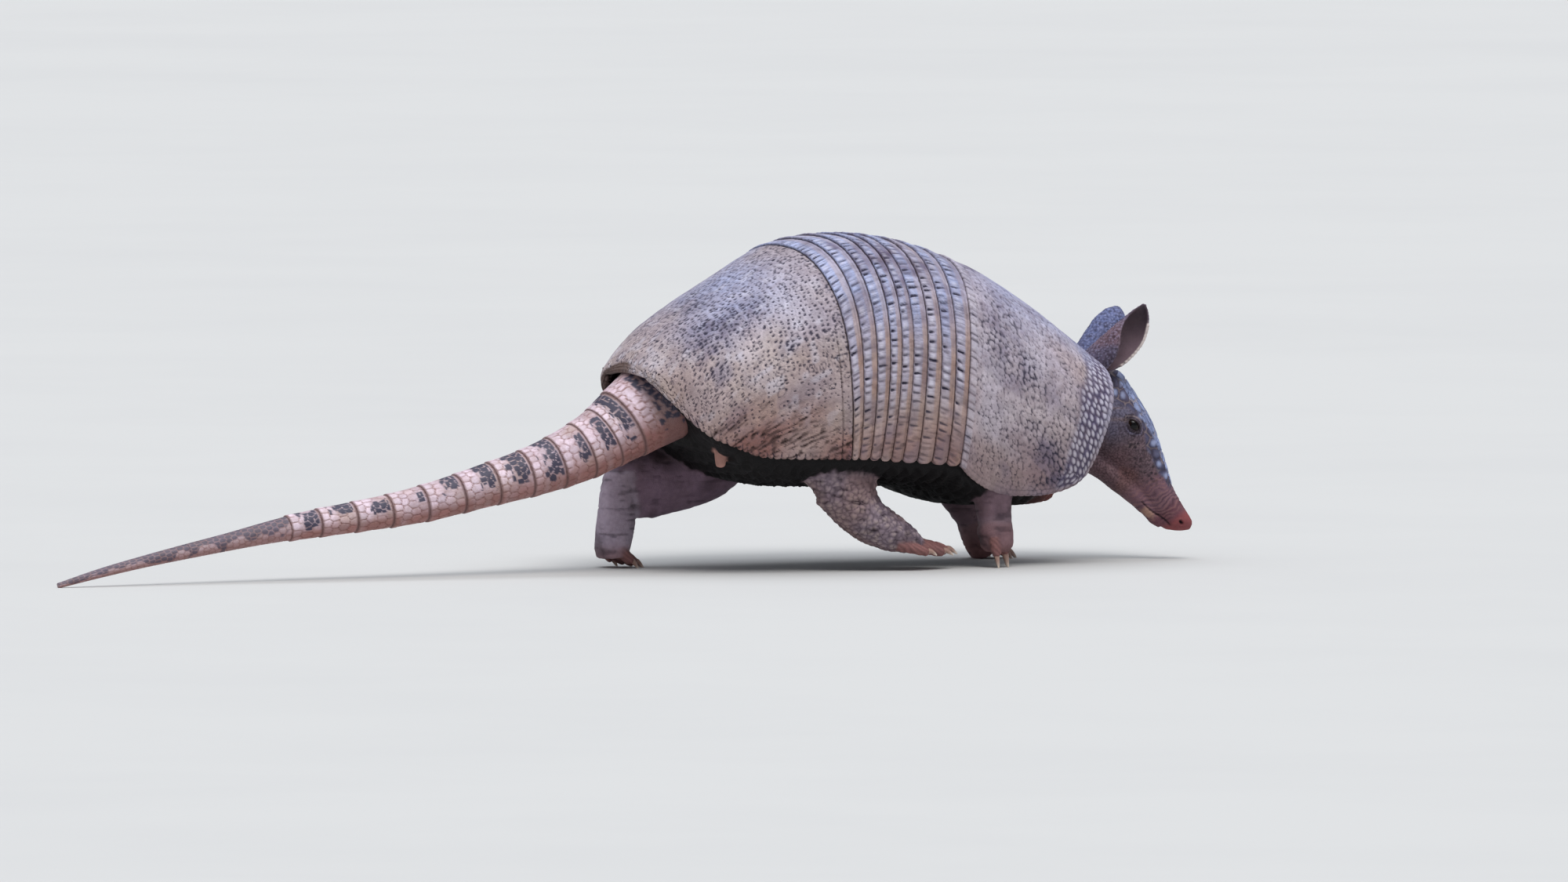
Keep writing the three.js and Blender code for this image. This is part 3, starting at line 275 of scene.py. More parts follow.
def smooth_rows(table: Array, at: Array) -> Array:
    """Interpolate a table's rows without overshoot.

    Args:
        table: rows of values, one row a station.
        at: station numbers, which may lie between rows.

    Returns:
        One interpolated row for each number.
    """
    rows = np.asarray(table, float)
    step = np.diff(rows, axis=0)
    before, after = step[:-1], step[1:]
    same = before * after > 0
    mean = np.where(same, 2 * before * after / np.where(same, before + after, 1.0), 0.0)
    slope = np.vstack([step[:1], mean, step[-1:]])
    index = np.clip(np.floor(at).astype(int), 0, len(rows) - 2)
    t = (at - index)[:, None]
    p0, p1, m0, m1 = rows[index], rows[index + 1], slope[index], slope[index + 1]
    t2, t3 = t * t, t * t * t
    return (2 * t3 - 3 * t2 + 1) * p0 + (t3 - 2 * t2 + t) * m0 + (3 * t2 - 2 * t3) * p1 + (t3 - t2) * m1


def resample(table: Array, count: int) -> Array:
    """Return a table's smooth rows at a number of even places."""
    return smooth_rows(table, np.linspace(0, len(table) - 1, count))


def circle(count: int) -> Array:
    """Return a row of angles once round."""
    return np.linspace(0, 2 * np.pi, count, endpoint=False)[None, :]


def hashed(*keys: Array) -> Array:
    """Turn whole numbers into repeatable values from 0 to 1."""
    total = np.zeros(np.broadcast(*keys).shape, np.uint64)
    for key, prime in zip(keys, (73856093, 19349663, 83492791, 2654435761)):
        total = total ^ (np.asarray(key).astype(np.int64).astype(np.uint64) * np.uint64(prime))
    total = (total ^ (total >> np.uint64(13))) * np.uint64(0x9E3779B97F4A7C15)
    total = total ^ (total >> np.uint64(32))
    return (total & np.uint64(0xFFFFFF)).astype(float) / float(0xFFFFFF)


def value_noise(points: Array, size: float, seed: int = 0) -> Array:
    """Smooth noise from -1 to 1.

    Args:
        points: positions in millimetres.
        size: width of one wave in millimetres.
        seed: whole number that picks the pattern.

    Returns:
        One value for each point.
    """
    q = points / size
    cell = np.floor(q).astype(int)
    f = q - cell
    f = f * f * (3.0 - 2.0 * f)
    total = np.zeros(len(points))
    for i in (0, 1):
        for j in (0, 1):
            for k in (0, 1):
                weight = (
                    (f[:, 0] if i else 1 - f[:, 0])
                    * (f[:, 1] if j else 1 - f[:, 1])
                    * (f[:, 2] if k else 1 - f[:, 2])
                )
                total += weight * hashed(cell[:, 0] + i, cell[:, 1] + j, cell[:, 2] + k, np.int64(seed))
    return total * 2.0 - 1.0


@dataclass(frozen=True)
class FlatNoise:
    """Noise over a surface that is unrolled flat.

    Attributes:
        along: millimetres along the surface.
        across: millimetres across it.
        first_seed: added to every seed, so that like pieces differ.
    """

    along: Array
    across: Array
    first_seed: int = 0

    def __call__(self, size_along: float, size_across: float, seed: int) -> Array:
        """Return noise from -1 to 1 with waves of the given lengths."""
        flat = np.stack([self.along, self.across, 0 * self.along], -1).reshape(-1, 3)
        waves = flat / (size_along, size_across, 1.0)
        return value_noise(waves, 1.0, seed + self.first_seed).reshape(self.along.shape)


@dataclass(frozen=True)
class Cells:
    """Scutes found on a surface: distances to the nearest three centres and a shade for each.

    Distances are in cell widths.
    """

    first: Array
    second: Array
    third: Array
    shade: Array

    def groove(self, width: float) -> Array:
        """Return 1 in the furrow between two scutes and 0 further in than width."""
        return fall(0.0, width, self.second - self.first)

    def pit(self, width: float) -> Array:
        """Return 1 where three scutes meet."""
        return fall(0.3 * width, width, self.third - self.first)


def nearest_three(near: list[Array], shape: tuple[int, ...]) -> Cells:
    """Sort candidates for each place: a distance and a shade in each of them."""
    table = np.stack(near)
    order = np.argsort(table[:, 0], axis=0)[:3]
    distance = np.take_along_axis(table[:, 0], order, 0)
    shade = np.take_along_axis(table[:, 1], order[:1], 0)[0]
    return Cells(*(d.reshape(shape) for d in distance), shade.reshape(shape))


def flat_cells(a: Array, b: Array, jitter: float, seed: int, wrap: int = 0) -> Cells:
    """Lay staggered scutes over a surface that is unrolled flat.

    Args:
        a: place along the surface, in cell widths; rows of scutes lie across it.
        b: place across the surface, in cell widths.
        jitter: how far a scute may stray, as a share of a cell.
        seed: whole number that picks the pattern.
        wrap: number of cells round a closed surface, or 0 for an open one.

    Returns:
        The scutes at each place.
    """
    shape = a.shape
    a, b = a.ravel(), b.ravel()
    row, near = np.floor(a).astype(int), []
    for i in (-1, 0, 1):
        r = row + i
        stagger = 0.5 * (r % 2)
        column = np.floor(b - stagger).astype(int)
        for j in (-1, 0, 1):
            c = column + j
            key = c % wrap if wrap else c
            ca = r + 0.5 + jitter * (hashed(r, key, np.int64(seed)) - 0.5)
            cb = c + stagger + 0.5 + jitter * (hashed(r, key, np.int64(seed + 7)) - 0.5)
            near.append(np.stack([np.hypot(a - ca, b - cb), hashed(r, key, np.int64(seed + 13))]))
    return nearest_three(near, shape)


def solid_cells(points: Array, size: float, jitter: float, seed: int) -> Cells:
    """Find the grains of a random packing in space.

    Args:
        points: positions in millimetres.
        size: width of one grain in millimetres.
        jitter: how irregular the packing is, 0 to 1.
        seed: whole number that picks the pattern.

    Returns:
        The grains at each point.
    """
    q = points / size
    cell, near = np.floor(q).astype(int), []
    for i in (-1, 0, 1):
        for j in (-1, 0, 1):
            for k in (-1, 0, 1):
                c = cell + (i, j, k)
                offset = [hashed(c[:, 0], c[:, 1], c[:, 2], np.int64(seed + s)) - 0.5 for s in range(3)]
                centre = c + 0.5 + jitter * np.stack(offset, 1)
                shade = hashed(c[:, 0], c[:, 1], c[:, 2], np.int64(seed + 5))
                near.append(np.stack([np.linalg.norm(q - centre, axis=1), shade]))
    return nearest_three(near, (len(points),))


def to_metres(points: Array) -> Array:
    """Move points from the animal's frame in millimetres to the shared frame in metres."""
    return (np.asarray(points, float) + (FORWARD_SHIFT, 0.0, 0.0)) / 1000.0


def from_head(points: Array) -> Array:
    """Move points from the head's frame to the animal's."""
    c, s = math.cos(HEAD_YAW), math.sin(HEAD_YAW)
    p = np.asarray(points, float)
    x = HEAD_PIVOT_X + c * p[..., 0] - s * p[..., 1]
    return np.stack([x, s * p[..., 0] + c * p[..., 1], p[..., 2]], -1)


def to_head(points: Array) -> Array:
    """Move points from the animal's frame to the head's."""
    c, s = math.cos(HEAD_YAW), math.sin(HEAD_YAW)
    x, y = points[..., 0] - HEAD_PIVOT_X, points[..., 1]
    return np.stack([c * x + s * y, c * y - s * x, points[..., 2]], -1)


def unit(vectors: Array) -> Array:
    """Scale vectors to length one."""
    return vectors / np.maximum(np.linalg.norm(vectors, axis=-1, keepdims=True), 1e-9)


# ------------ mesh making
def grid_faces(rows: int, columns: int, closed: bool = False) -> Array:
    """List the quads of a grid of points.

    Args:
        rows: number of rows.
        columns: number of points in a row.
        closed: whether the last column joins the first.

    Returns:
        Four point numbers for each quad.
    """
    i = np.arange(rows - 1)[:, None]
    j = np.arange(columns if closed else columns - 1)[None, :]
    k = (j + 1) % columns
    quads = [i * columns + j, i * columns + k, (i + 1) * columns + k, (i + 1) * columns + j]
    return np.stack([q.ravel() for q in np.broadcast_arrays(*quads)], 1)


def new_object(name: str, points: Array, faces: Array, extra: list[list[int]] | None = None) -> Object:
    """Make a smooth-shaded mesh object.

    Args:
        name: the object's name.
        points: positions in millimetres, in the animal's frame.
        faces: four point numbers for each quad.
        extra: faces of any other number of corners.

    Returns:
        The object, linked to the scene.
    """
    mesh = bpy.data.meshes.new(name)
    extra = extra or []
    loops = np.concatenate([np.asarray(faces, np.int32).ravel(), *[np.asarray(f, np.int32) for f in extra]])
    sizes = np.concatenate([np.full(len(faces), 4), [len(f) for f in extra]]).astype(np.int32)
    mesh.vertices.add(len(points))
    mesh.vertices.foreach_set("co", to_metres(points).astype(np.float32).ravel())
    mesh.loops.add(len(loops))
    mesh.loops.foreach_set("vertex_index", loops)
    mesh.polygons.add(len(sizes))
    mesh.polygons.foreach_set("loop_start", np.concatenate([[0], np.cumsum(sizes)[:-1]]).astype(np.int32))
    mesh.update(calc_edges=True)
    mesh.validate()
    mesh.shade_smooth()
    piece = bpy.data.objects.new(name, mesh)
    bpy.context.scene.collection.objects.link(piece)
    return piece


def mark(piece: Object, **marks: Array) -> None:
    """Store one number a vertex under each name, for the materials to read."""
    for name, values in marks.items():
        layer = piece.data.attributes.new(name, "FLOAT", "POINT")
        layer.data.foreach_set("value", np.asarray(values, np.float32).ravel())


def declare(piece: Object, material: bpy.types.Material, slot: str, *nodes: str) -> None:
    """Dress a piece, fix it to the body and let it stand for its CAD nodes."""
    piece.data.materials.clear()
    piece.data.materials.append(material)
    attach(piece, "root")
    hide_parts(*nodes)
    LOG.info("%s: %d faces, for %s", piece.name, len(piece.data.polygons), ", ".join(nodes))


def loft_parts(rings: Array) -> tuple[Array, Array, list[list[int]]]:
    """Join rings of points into a closed body with capped ends.

    Args:
        rings: positions, ring by ring.

    Returns:
        The points, the quads and the triangles of the caps.
    """
    rows, columns = rings.shape[:2]
    points = np.concatenate([rings.reshape(-1, 3), [rings[0].mean(0)], [rings[-1].mean(0)]])
    first, last = rows * columns, rows * columns + 1
    base = (rows - 1) * columns
    fans = [[(j + 1) % columns, j, first] for j in range(columns)]
    fans += [[base + j, base + (j + 1) % columns, last] for j in range(columns)]
    return points, grid_faces(rows, columns, True), fans


def loft(name: str, *bodies: Array) -> Object:
    """Make an object of one or more closed bodies, facing outwards.

    Args:
        name: the object's name.
        bodies: rings of positions, one set for each body.

    Returns:
        The object.
    """
    points, quads, fans, start = [], [], [], 0
    for rings in bodies:
        body_points, body_quads, body_fans = loft_parts(rings)
        points.append(body_points)
        quads.append(body_quads + start)
        fans += [[corner + start for corner in fan] for fan in body_fans]
        start += len(body_points)
    piece = new_object(name, np.concatenate(points), np.concatenate(quads), fans)
    face_out(piece)
    return piece


def face_out(piece: Object) -> None:
    """Turn all faces outwards."""
    mesh = bmesh.new()
    mesh.from_mesh(piece.data)
    bmesh.ops.recalc_face_normals(mesh, faces=mesh.faces)
    mesh.to_mesh(piece.data)
    mesh.free()


def ring_frames(centres: Array) -> tuple[Array, Array]:
    """Find two directions across a path at each of its points.

    Args:
        centres: the path's points.

    Returns:
        A direction as near the fore-and-aft one as the path allows, and the sideways one.
    """
    along = unit(np.gradient(centres, axis=0))
    side = np.broadcast_to((0.0, 1.0, 0.0), along.shape)
    deep = unit(np.cross(side, along))
    return deep, unit(np.cross(along, deep))


# ------------ finishes
def rgb(red: int, green: int, blue: int) -> tuple[float, float, float, float]:
    """Turn a screen colour from 0 to 255 into a linear one."""
    linear = [c / 12.92 if c <= 0.04045 else ((c + 0.055) / 1.055) ** 2.4 for c in (red / 255, green / 255,
                                                                                    blue / 255)]
    return (*linear, 1.0)


class Effect(Enum):
    """Names of the shared node groups."""

    STAIN = "Stain"
    FURROW = "Furrow"
    GRAIN = "Grain"


Socket = bpy.types.NodeSocket


def link_or_set(tree: bpy.types.NodeTree, target: Socket, value: object) -> None:
    """Feed a socket with another socket or with a constant."""
    if isinstance(value, bpy.types.NodeSocket):
        tree.links.new(value, target)
    else:
        target.default_value = value


def open_group(effect: Effect, inputs: tuple[str, ...], outputs: tuple[str, ...]) -> tuple:
    """Start a node group.

    Args:
        effect: which effect it holds.
        inputs: names of the inputs; those that end in Color carry colours, the others numbers.
        outputs: names of the outputs, likewise.

    Returns:
        The tree, its input node and its output node.
    """
    tree = bpy.data.node_groups.new(effect.value, "ShaderNodeTree")
    for way, names in (("INPUT", inputs), ("OUTPUT", outputs)):
        for name in names:
            kind = "NodeSocketColor" if name.endswith("Color") else "NodeSocketFloat"
            tree.interface.new_socket(name, in_out=way, socket_type=kind)
    return tree, tree.nodes.new("NodeGroupInput"), tree.nodes.new("NodeGroupOutput")


def add_node(tree: bpy.types.NodeTree, kind: str, inputs: dict | None = None,
             **settings: object) -> bpy.types.Node:
    """Add a node to a tree.

    Args:
        tree: the material's or group's tree.
        kind: Blender's name for the node.
        inputs: sockets or constants by input name or number.
        settings: the node's own properties.

    Returns:
        The node.
    """
    node = tree.nodes.new(kind)
    for name, value in settings.items():
        setattr(node, name, value)
    for name, value in (inputs or {}).items():
        link_or_set(tree, node.inputs[name], value)
    return node


def mix_colours(tree: bpy.types.NodeTree, share: object, first: object, second: object,
                way: str = "MIX") -> Socket:
    """Blend two colours.

    Args:
        tree: the tree to add to.
        share: how much of the second colour.
        first: the colour at share 0.
        second: the colour at share 1.
        way: the kind of blend.

    Returns:
        The blended colour.
    """
    node = add_node(tree, "ShaderNodeMix", {0: share, 6: first, 7: second}, data_type="RGBA", blend_type=way)
    return node.outputs[2]


def make_stain_group() -> None:
    """Make the group that clouds a colour with patches of another."""
    inputs = ("Color", "Stain Color", "Scale", "Amount")
    tree, given, out = open_group(Effect.STAIN, inputs, ("Color",))
    place = add_node(tree, "ShaderNodeTexCoord").outputs["Object"]
    cloud = add_node(tree, "ShaderNodeTexNoise",
                     {"Vector": place, "Scale": given.outputs["Scale"], "Detail": 6.0, "Roughness": 0.62})
    edge = add_node(tree, "ShaderNodeMapRange",
                    {"Value": cloud.outputs[0], "From Min": 0.42, "From Max": 0.66})
    share = add_node(tree, "ShaderNodeMath", {0: edge.outputs[0], 1: given.outputs["Amount"]},
                     operation="MULTIPLY")
    mixed = mix_colours(tree, share.outputs[0], given.outputs["Color"], given.outputs["Stain Color"])
    tree.links.new(mixed, out.inputs["Color"])


def make_furrow_group() -> None:
    """Make the group that fills furrows with a darker and rougher finish."""
    inputs = ("Color", "Furrow Color", "Mask", "Roughness")
    tree, given, out = open_group(Effect.FURROW, inputs, ("Color", "Roughness"))
    mixed = mix_colours(tree, given.outputs["Mask"], given.outputs["Color"], given.outputs["Furrow Color"])
    rough = add_node(tree, "ShaderNodeMapRange", {"Value": given.outputs["Mask"], "To Max": 0.9})
    link_or_set(tree, rough.inputs["To Min"], given.outputs["Roughness"])
    tree.links.new(mixed, out.inputs["Color"])
    tree.links.new(rough.outputs[0], out.inputs["Roughness"])


def make_grain_group() -> None:
    """Make the group that gives the height of fine grains."""
    tree, given, out = open_group(Effect.GRAIN, ("Scale", "Amount"), ("Height",))
    place = add_node(tree, "ShaderNodeTexCoord").outputs["Object"]
    cells = add_node(tree, "ShaderNodeTexVoronoi", {"Vector": place, "Scale": given.outputs["Scale"]},
                     feature="F1")
    cloud = add_node(tree, "ShaderNodeTexNoise",
                     {"Vector": place, "Scale": given.outputs["Scale"], "Detail": 4.0})
    both = add_node(tree, "ShaderNodeMath", {0: cells.outputs[0], 1: cloud.outputs[0]}, operation="ADD")
    tall = add_node(tree, "ShaderNodeMath", {0: both.outputs[0], 1: given.outputs["Amount"]},
                    operation="MULTIPLY")
    tree.links.new(tall.outputs[0], out.inputs["Height"])


@dataclass
class Look:
    """A material being put together: one shader, with colours laid over each other.

    Attributes:
        name: the material's name.
        colour: the colour so far.
        roughness: the shader's roughness away from furrows.
    """

    name: str
    colour: object
    roughness: object = 0.6

    def __post_init__(self) -> None:
        """Start the material."""
        self.material = bpy.data.materials.new(self.name)
        self.material.use_nodes = True
        self.tree = self.material.node_tree
        self.tree.nodes.clear()
        self.shader = add_node(self.tree, "ShaderNodeBsdfPrincipled")
        out = add_node(self.tree, "ShaderNodeOutputMaterial")
        self.tree.links.new(self.shader.outputs[0], out.inputs[0])

    def mark(self, name: str, output: str = "Fac") -> Socket:
        """Read a number or a colour stored on the mesh."""
        return add_node(self.tree, "ShaderNodeAttribute", attribute_name=name).outputs[output]

    def tint(self, name: str) -> None:
        """Start from the colour stored on the mesh."""
        self.colour = self.mark(name, "Color")

    def group(self, effect: Effect, **inputs: object) -> bpy.types.Node:
        """Add one of the shared groups."""
        node = add_node(self.tree, "ShaderNodeGroup", node_tree=bpy.data.node_groups[effect.value])
        for name, value in inputs.items():
            link_or_set(self.tree, node.inputs[name.replace("_", " ")], value)
        return node

    def over(self, mark: str, colour: Colour) -> None:
        """Lay a colour over the last where a mark is set."""
        self.colour = mix_colours(self.tree, self.mark(mark), self.colour, rgb(*colour))

    def stain(self, colour: Colour, scale: float, amount: float) -> None:
        """Cloud the colour with patches of another."""
        node = self.group(Effect.STAIN, Color=self.colour, Stain_Color=rgb(*colour), Scale=scale,
                          Amount=amount)
        self.colour = node.outputs["Color"]

    def furrow(self, mark: str, colour: Colour) -> None:
        """Fill furrows with a darker and rougher finish."""
        node = self.group(Effect.FURROW, Color=self.colour, Furrow_Color=rgb(*colour), Mask=self.mark(mark),
                          Roughness=self.roughness)
        self.colour, self.roughness = node.outputs["Color"], node.outputs["Roughness"]

    def vary(self, mark: str, strength: float) -> None:
        """Lighten and darken by a stored number from 0 to 1."""
        low, high = 1.0 - strength, 1.0 + strength
        factor = add_node(self.tree, "ShaderNodeMapRange",
                          {"Value": self.mark(mark), "To Min": low, "To Max": high})
        self.colour = mix_colours(self.tree, 1.0, self.colour, factor.outputs[0], "MULTIPLY")

    def done(self, grain: float, depth: float, specular: float) -> bpy.types.Material:
        """Close the material with fine grains and a specular level, as Finish names them."""
        link_or_set(self.tree, self.shader.inputs["Base Color"], self.colour)
        link_or_set(self.tree, self.shader.inputs["Roughness"], self.roughness)
        self.shader.inputs["Specular IOR Level"].default_value = specular
        height = self.group(Effect.GRAIN, Scale=grain, Amount=1.0).outputs["Height"]
        bump = add_node(self.tree, "ShaderNodeBump", {"Height": height, "Distance": depth, "Strength": 1.0})
        self.tree.links.new(bump.outputs[0], self.shader.inputs["Normal"])
        return self.material


class Layer(Enum):
    """Ways to change a look's colour: the names of its methods."""

    TINT = "tint"
    STAIN = "stain"
    OVER = "over"
    VARY = "vary"
    FURROW = "furrow"


@dataclass(frozen=True)
class Finish:
    """A material: a base colour with layers over it, and fine grains.

    Attributes:
        name: the material's name.
        colour: the base, a screen colour.
        roughness: roughness away from furrows.
        grain: how many fine grains there are in a metre.
        depth: how deep the grains are, in metres.
        specular: the shader's specular level.
        layers: a way and its values for each layer.
        coat: weight of the clear coat.
    """

    name: str
    colour: Colour
    roughness: float
    grain: float
    depth: float
    specular: float
    layers: tuple[tuple, ...]
    coat: float = 0.0

    def material(self) -> bpy.types.Material:
        """Make the material."""
        look = Look(self.name, rgb(*self.colour), self.roughness)
        for way, *values in self.layers:
            getattr(look, way.value)(*values)
        look.shader.inputs["Coat Weight"].default_value = self.coat
        return look.done(self.grain, self.depth, self.specular)


TINT, STAIN, OVER, VARY, FURROW = Layer
# Horn over bone: pinkish grey, redder on the flank. Bluer on the back: a painted sky reflection. Painted
# highlights on the bands' swellings, and painted shade on the rows that turn under the plates' edges.
SHELL_HORN = Finish("Carapace_horn", (190, 170, 168), 0.6, 1500.0, 0.00018, 0.45, (
    (STAIN, (208, 188, 172), 34.0, 0.55), (STAIN, (150, 134, 144), 21.0, 0.4),
    (OVER, "blue", (168, 176, 212)), (OVER, "clay", (142, 98, 90)),
    (OVER, "brown", (168, 136, 122)), (OVER, "cloud", (98, 88, 116)), (VARY, "shade", 0.16),
    (STAIN, (120, 100, 104), 260.0, 0.4), (OVER, "pale", (222, 218, 232)),
    (FURROW, "pit", (42, 38, 58)), (FURROW, "line", (52, 34, 32)),
    (OVER, "lip", (104, 84, 78)), (OVER, "under", (62, 46, 42)),
))
# Cream-pink scutes with patches of dark blue ones, reddish below.
TAIL_SCUTES = Finish("Tail_scutes", (206, 183, 193), 0.5, 1700.0, 0.00014, 0.45, (
    (STAIN, (190, 164, 150), 60.0, 0.6), (OVER, "pale", (242, 222, 236)),
    (OVER, "clay", (156, 106, 102)), (VARY, "shade", 0.14), (STAIN, (150, 112, 98), 320.0, 0.35),
    (FURROW, "groove", (128, 86, 78)), (OVER, "brown", (118, 88, 86)),
    (OVER, "spot", (42, 42, 66)), (FURROW, "line", (66, 38, 34)),
))
# Blue-grey scales with pale brown skin between them, painted highlights on their domes and painted shade on
# the rows that turn under the shield's edge.
HEAD_SCALES = Finish("Head_scales", (146, 158, 200), 0.42, 1900.0, 0.0001, 0.5, (
    (STAIN, (72, 70, 100), 140.0, 0.7), (VARY, "shade", 0.35), (OVER, "pale", (206, 216, 246)),
    (FURROW, "groove", (150, 138, 140)), (FURROW, "pit", (44, 44, 66)),
    (OVER, "under", (96, 82, 84)),
))
# A dark brown iris, black in the middle and grey round it.
WET_EYE = Finish("Eye_wet", (20, 13, 11), 0.16, 600.0, 0.000004, 0.18, (
    (STAIN, (48, 32, 24), 700.0, 0.6), (OVER, "pupil", (6, 5, 6)), (OVER, "white", (70, 66, 84)),
), coat=0.12)
# Pale brown horn, darker in streaks and near its root.
CLAW_HORN = Finish("Claw_horn", (176, 142, 128), 0.36, 1400.0, 0.00008, 0.5, (
    (STAIN, (128, 92, 84), 240.0, 0.7), (OVER, "root", (120, 84, 80)),
    (OVER, "ridge", (140, 108, 98)), (OVER, "tip", (222, 206, 190)),
))
# Leathery skin: stored colours, mottled, with darker furrows; the belly under the shell is painted near
# black, as painted shade.
LEATHER = Finish("Skin_leather", (110, 90, 90), 0.68, 2100.0, 0.00014, 0.26, (
    (TINT, "tint"), (STAIN, (78, 58, 66), 70.0, 0.3), (STAIN, (150, 124, 120), 240.0, 0.08),
    (FURROW, "furrow", (40, 28, 36)), (OVER, "belly", (7, 4, 6)),
))
FLOOR_PAPER = Finish("Floor_paper", (206, 205, 202), 0.9, 300.0, 0.00002, 0.1, (
    (STAIN, (200, 199, 197), 2.0, 0.4),
))


# ------------ shell
SHELL = PELVIC + BANDS[1:] + SCAPULAR[1:]
LAST_PELVIC = len(PELVIC) - 1
LAST_BAND = LAST_PELVIC + len(BANDS) - 1
LAST_HOOP = len(SHELL) - 1
STEP = 0.85
# How far a band reaches under the plate in front, in band lengths.
BAND_REACH = 1.12
# Lengths of scutes in millimetres: along and round the shell, or round it only.
PIT_PITCH, ROSETTE_PITCH, SHOULDER_PITCH = (3.7, 2.6), (7.4, 6.0), (4.4, 3.7)
FLECK_PITCH, KNOB_PITCH = (2.5, 1.9), (4.5, 4.0)
HEM_PITCH, BAND_PITCH, FINE_PITCH = 4.8, 4.9, 2.3
# How far in and how deep each row of a plate's rounded edge lies.
RIM = [(0.0, 0.0), (0.0, 0.5), (0.1, 1.3), (0.5, 2.1), (1.3, 2.6), (1.0, 2.8)]


def shell_points(hoops: Array, shares: Array) -> Array:
    """Place points on the shell.

    Args:
        hoops: hoop numbers, counted from the rear of the shell.
        shares: places round a hoop, from 0 at the right margin to 1 at the left one.

    Returns:
        A row of points for each hoop.
    """
    rows = smooth_rows(SHELL, hoops)
    top_x, top_z, edge_x, edge_y, edge_z, widest, side, bow = (rows[:, k, None] for k in range(8))
    reach = np.abs(2.0 * shares[None, :] - 1.0)
    turning = 1.0 - SIDE_SHARE * side / FULL_SIDE
    angle = np.minimum(reach / turning, 1.0) * np.pi / 2
    drop = clip01((reach - turning) / (1.0 - turning))
    arch = side + (1.0 - side) * np.maximum(np.cos(angle), 0.0) ** SQUARENESS
    height = np.where(reach <= turning, arch, side * (1.0 - drop))
    width = np.where(reach <= turning, widest * np.sin(angle) ** SQUARENESS,
                     widest - (widest - edge_y) * drop**2)
    x = edge_x + (top_x - edge_x) * np.maximum(height, 0.0) ** bow
    y = np.sign(shares[None, :] - 0.5) * width
    return np.stack([x, y, edge_z + (top_z - edge_z) * height], -1)


def grid_normals(points: Array) -> Array:
    """Return the outward normals of a grid whose rows run forward and columns to the left."""
    return unit(np.cross(np.gradient(points, axis=0), np.gradient(points, axis=1)))


def path_lengths(points: Array, axis: int) -> Array:
    """Return how far each point of a grid lies along its own line from the first one."""
    steps = np.linalg.norm(np.diff(points, axis=axis), axis=-1)
    start = np.zeros_like(np.take(points[..., 0], [0], axis=axis))
    return np.concatenate([start, np.cumsum(steps, axis=axis)], axis=axis)


@dataclass
class Patch:
    """A stretch of shell between two hoops.

    Attributes:
        points: the outer surface, a row for each hoop.
        normals: outward directions.
        back: millimetres from the rear edge.
        ahead: millimetres to the front edge.
        around: millimetres from the middle line, less than 0 on the right.
        margin: millimetres to the nearer side margin.
    """

    points: Array
    normals: Array
    back: Array
    ahead: Array
    around: Array
    margin: Array

    @classmethod
    def between(cls, first: float, last: float, rows: int, columns: int) -> "Patch":
        """Sample the shell evenly between two hoops.

        Args:
            first: the rear hoop's number.
            last: the front hoop's number.
            rows: number of rows.
            columns: number of points in a row.

        Returns:
            The patch.
        """
        shares = np.linspace(0.0, 1.0, columns)
        fine = np.linspace(first, last, 240)
        run = path_lengths(shell_points(fine, shares), 0).mean(1)
        points = shell_points(np.interp(np.linspace(0.0, run[-1], rows), run, fine), shares)
        back = path_lengths(points, 0)
        around = path_lengths(points, 1)
        margin = np.minimum(around, around[:, -1:] - around)
        around = around - around[:, columns // 2, None]
        return cls(points, grid_normals(points), back, back[-1:] - back, around, margin)

    @property
    def height(self) -> Array:
        """Height above the ground."""
        return self.points[..., 2]


def build_plate(
    name: str, patch: Patch, relief: Array, marks: dict[str, Array], reach: float, thick: float = 1.0
) -> Object:
    """Turn a patch of surface into a plate with rounded edges and an inner lip.

    Args:
        name: the piece's name.
        patch: the stretch of surface.
        relief: height over the smooth surface, in millimetres.
        marks: numbers to store for the material.
        reach: how far the inner lip reaches in, in millimetres.
        thick: thickness as a share of a shell plate's.

    Returns:
        The piece.
    """
    surface = patch.points + patch.normals * relief[..., None]
    rim = RIM + [(reach, 3.0)]
    count = len(rim) - 1
    rows, columns = relief.shape
    i, j = np.arange(-count, rows + count), np.arange(-count, columns + count)
    ci, cj = np.clip(i, 0, rows - 1), np.clip(j, 0, columns - 1)
    ki, kj = np.abs(i - ci), np.abs(j - cj)
    inset, depth = np.array(rim).T
    depth = depth * thick
    into_rows = np.zeros((len(i), columns, 3))
    into_rows[i < 0] = unit(patch.points[3] - patch.points[0])
    into_rows[i >= rows] = unit(patch.points[-4] - patch.points[-1])
    into_columns = np.zeros((rows, len(j), 3))
    into_columns[:, j < 0] = unit(patch.points[:, 3] - patch.points[:, 0])[:, None]
    into_columns[:, j >= columns] = unit(patch.points[:, -4] - patch.points[:, -1])[:, None]
    points = surface[ci][:, cj]
    points = points + into_rows[:, cj] * inset[ki][:, None, None]
    points = points + into_columns[ci] * inset[kj][None, :, None]
    points = points - patch.normals[ci][:, cj] * depth[np.maximum(ki[:, None], kj[None, :])][..., None]
    piece = new_object(name, points.reshape(-1, 3), grid_faces(len(i), len(j))[:, ::-1])
    # The rows that turn under the plate's edge are marked under; the materials paint them dark, as painted
    # shade under the edge.
    under = clip01(np.maximum(ki[:, None], kj[None, :]) / 2.0 - 0.5)
    mark(piece, under=under, **{key: value[ci][:, cj] for key, value in marks.items()})
    return piece


def round_off(distance: Array, radius: float) -> Array:
    """Return how far a surface drops within a radius of its edge."""
    inside = clip01(1.0 - distance / radius)
    return radius * (1.0 - np.sqrt(1.0 - 0.9 * inside**2)) * 0.8


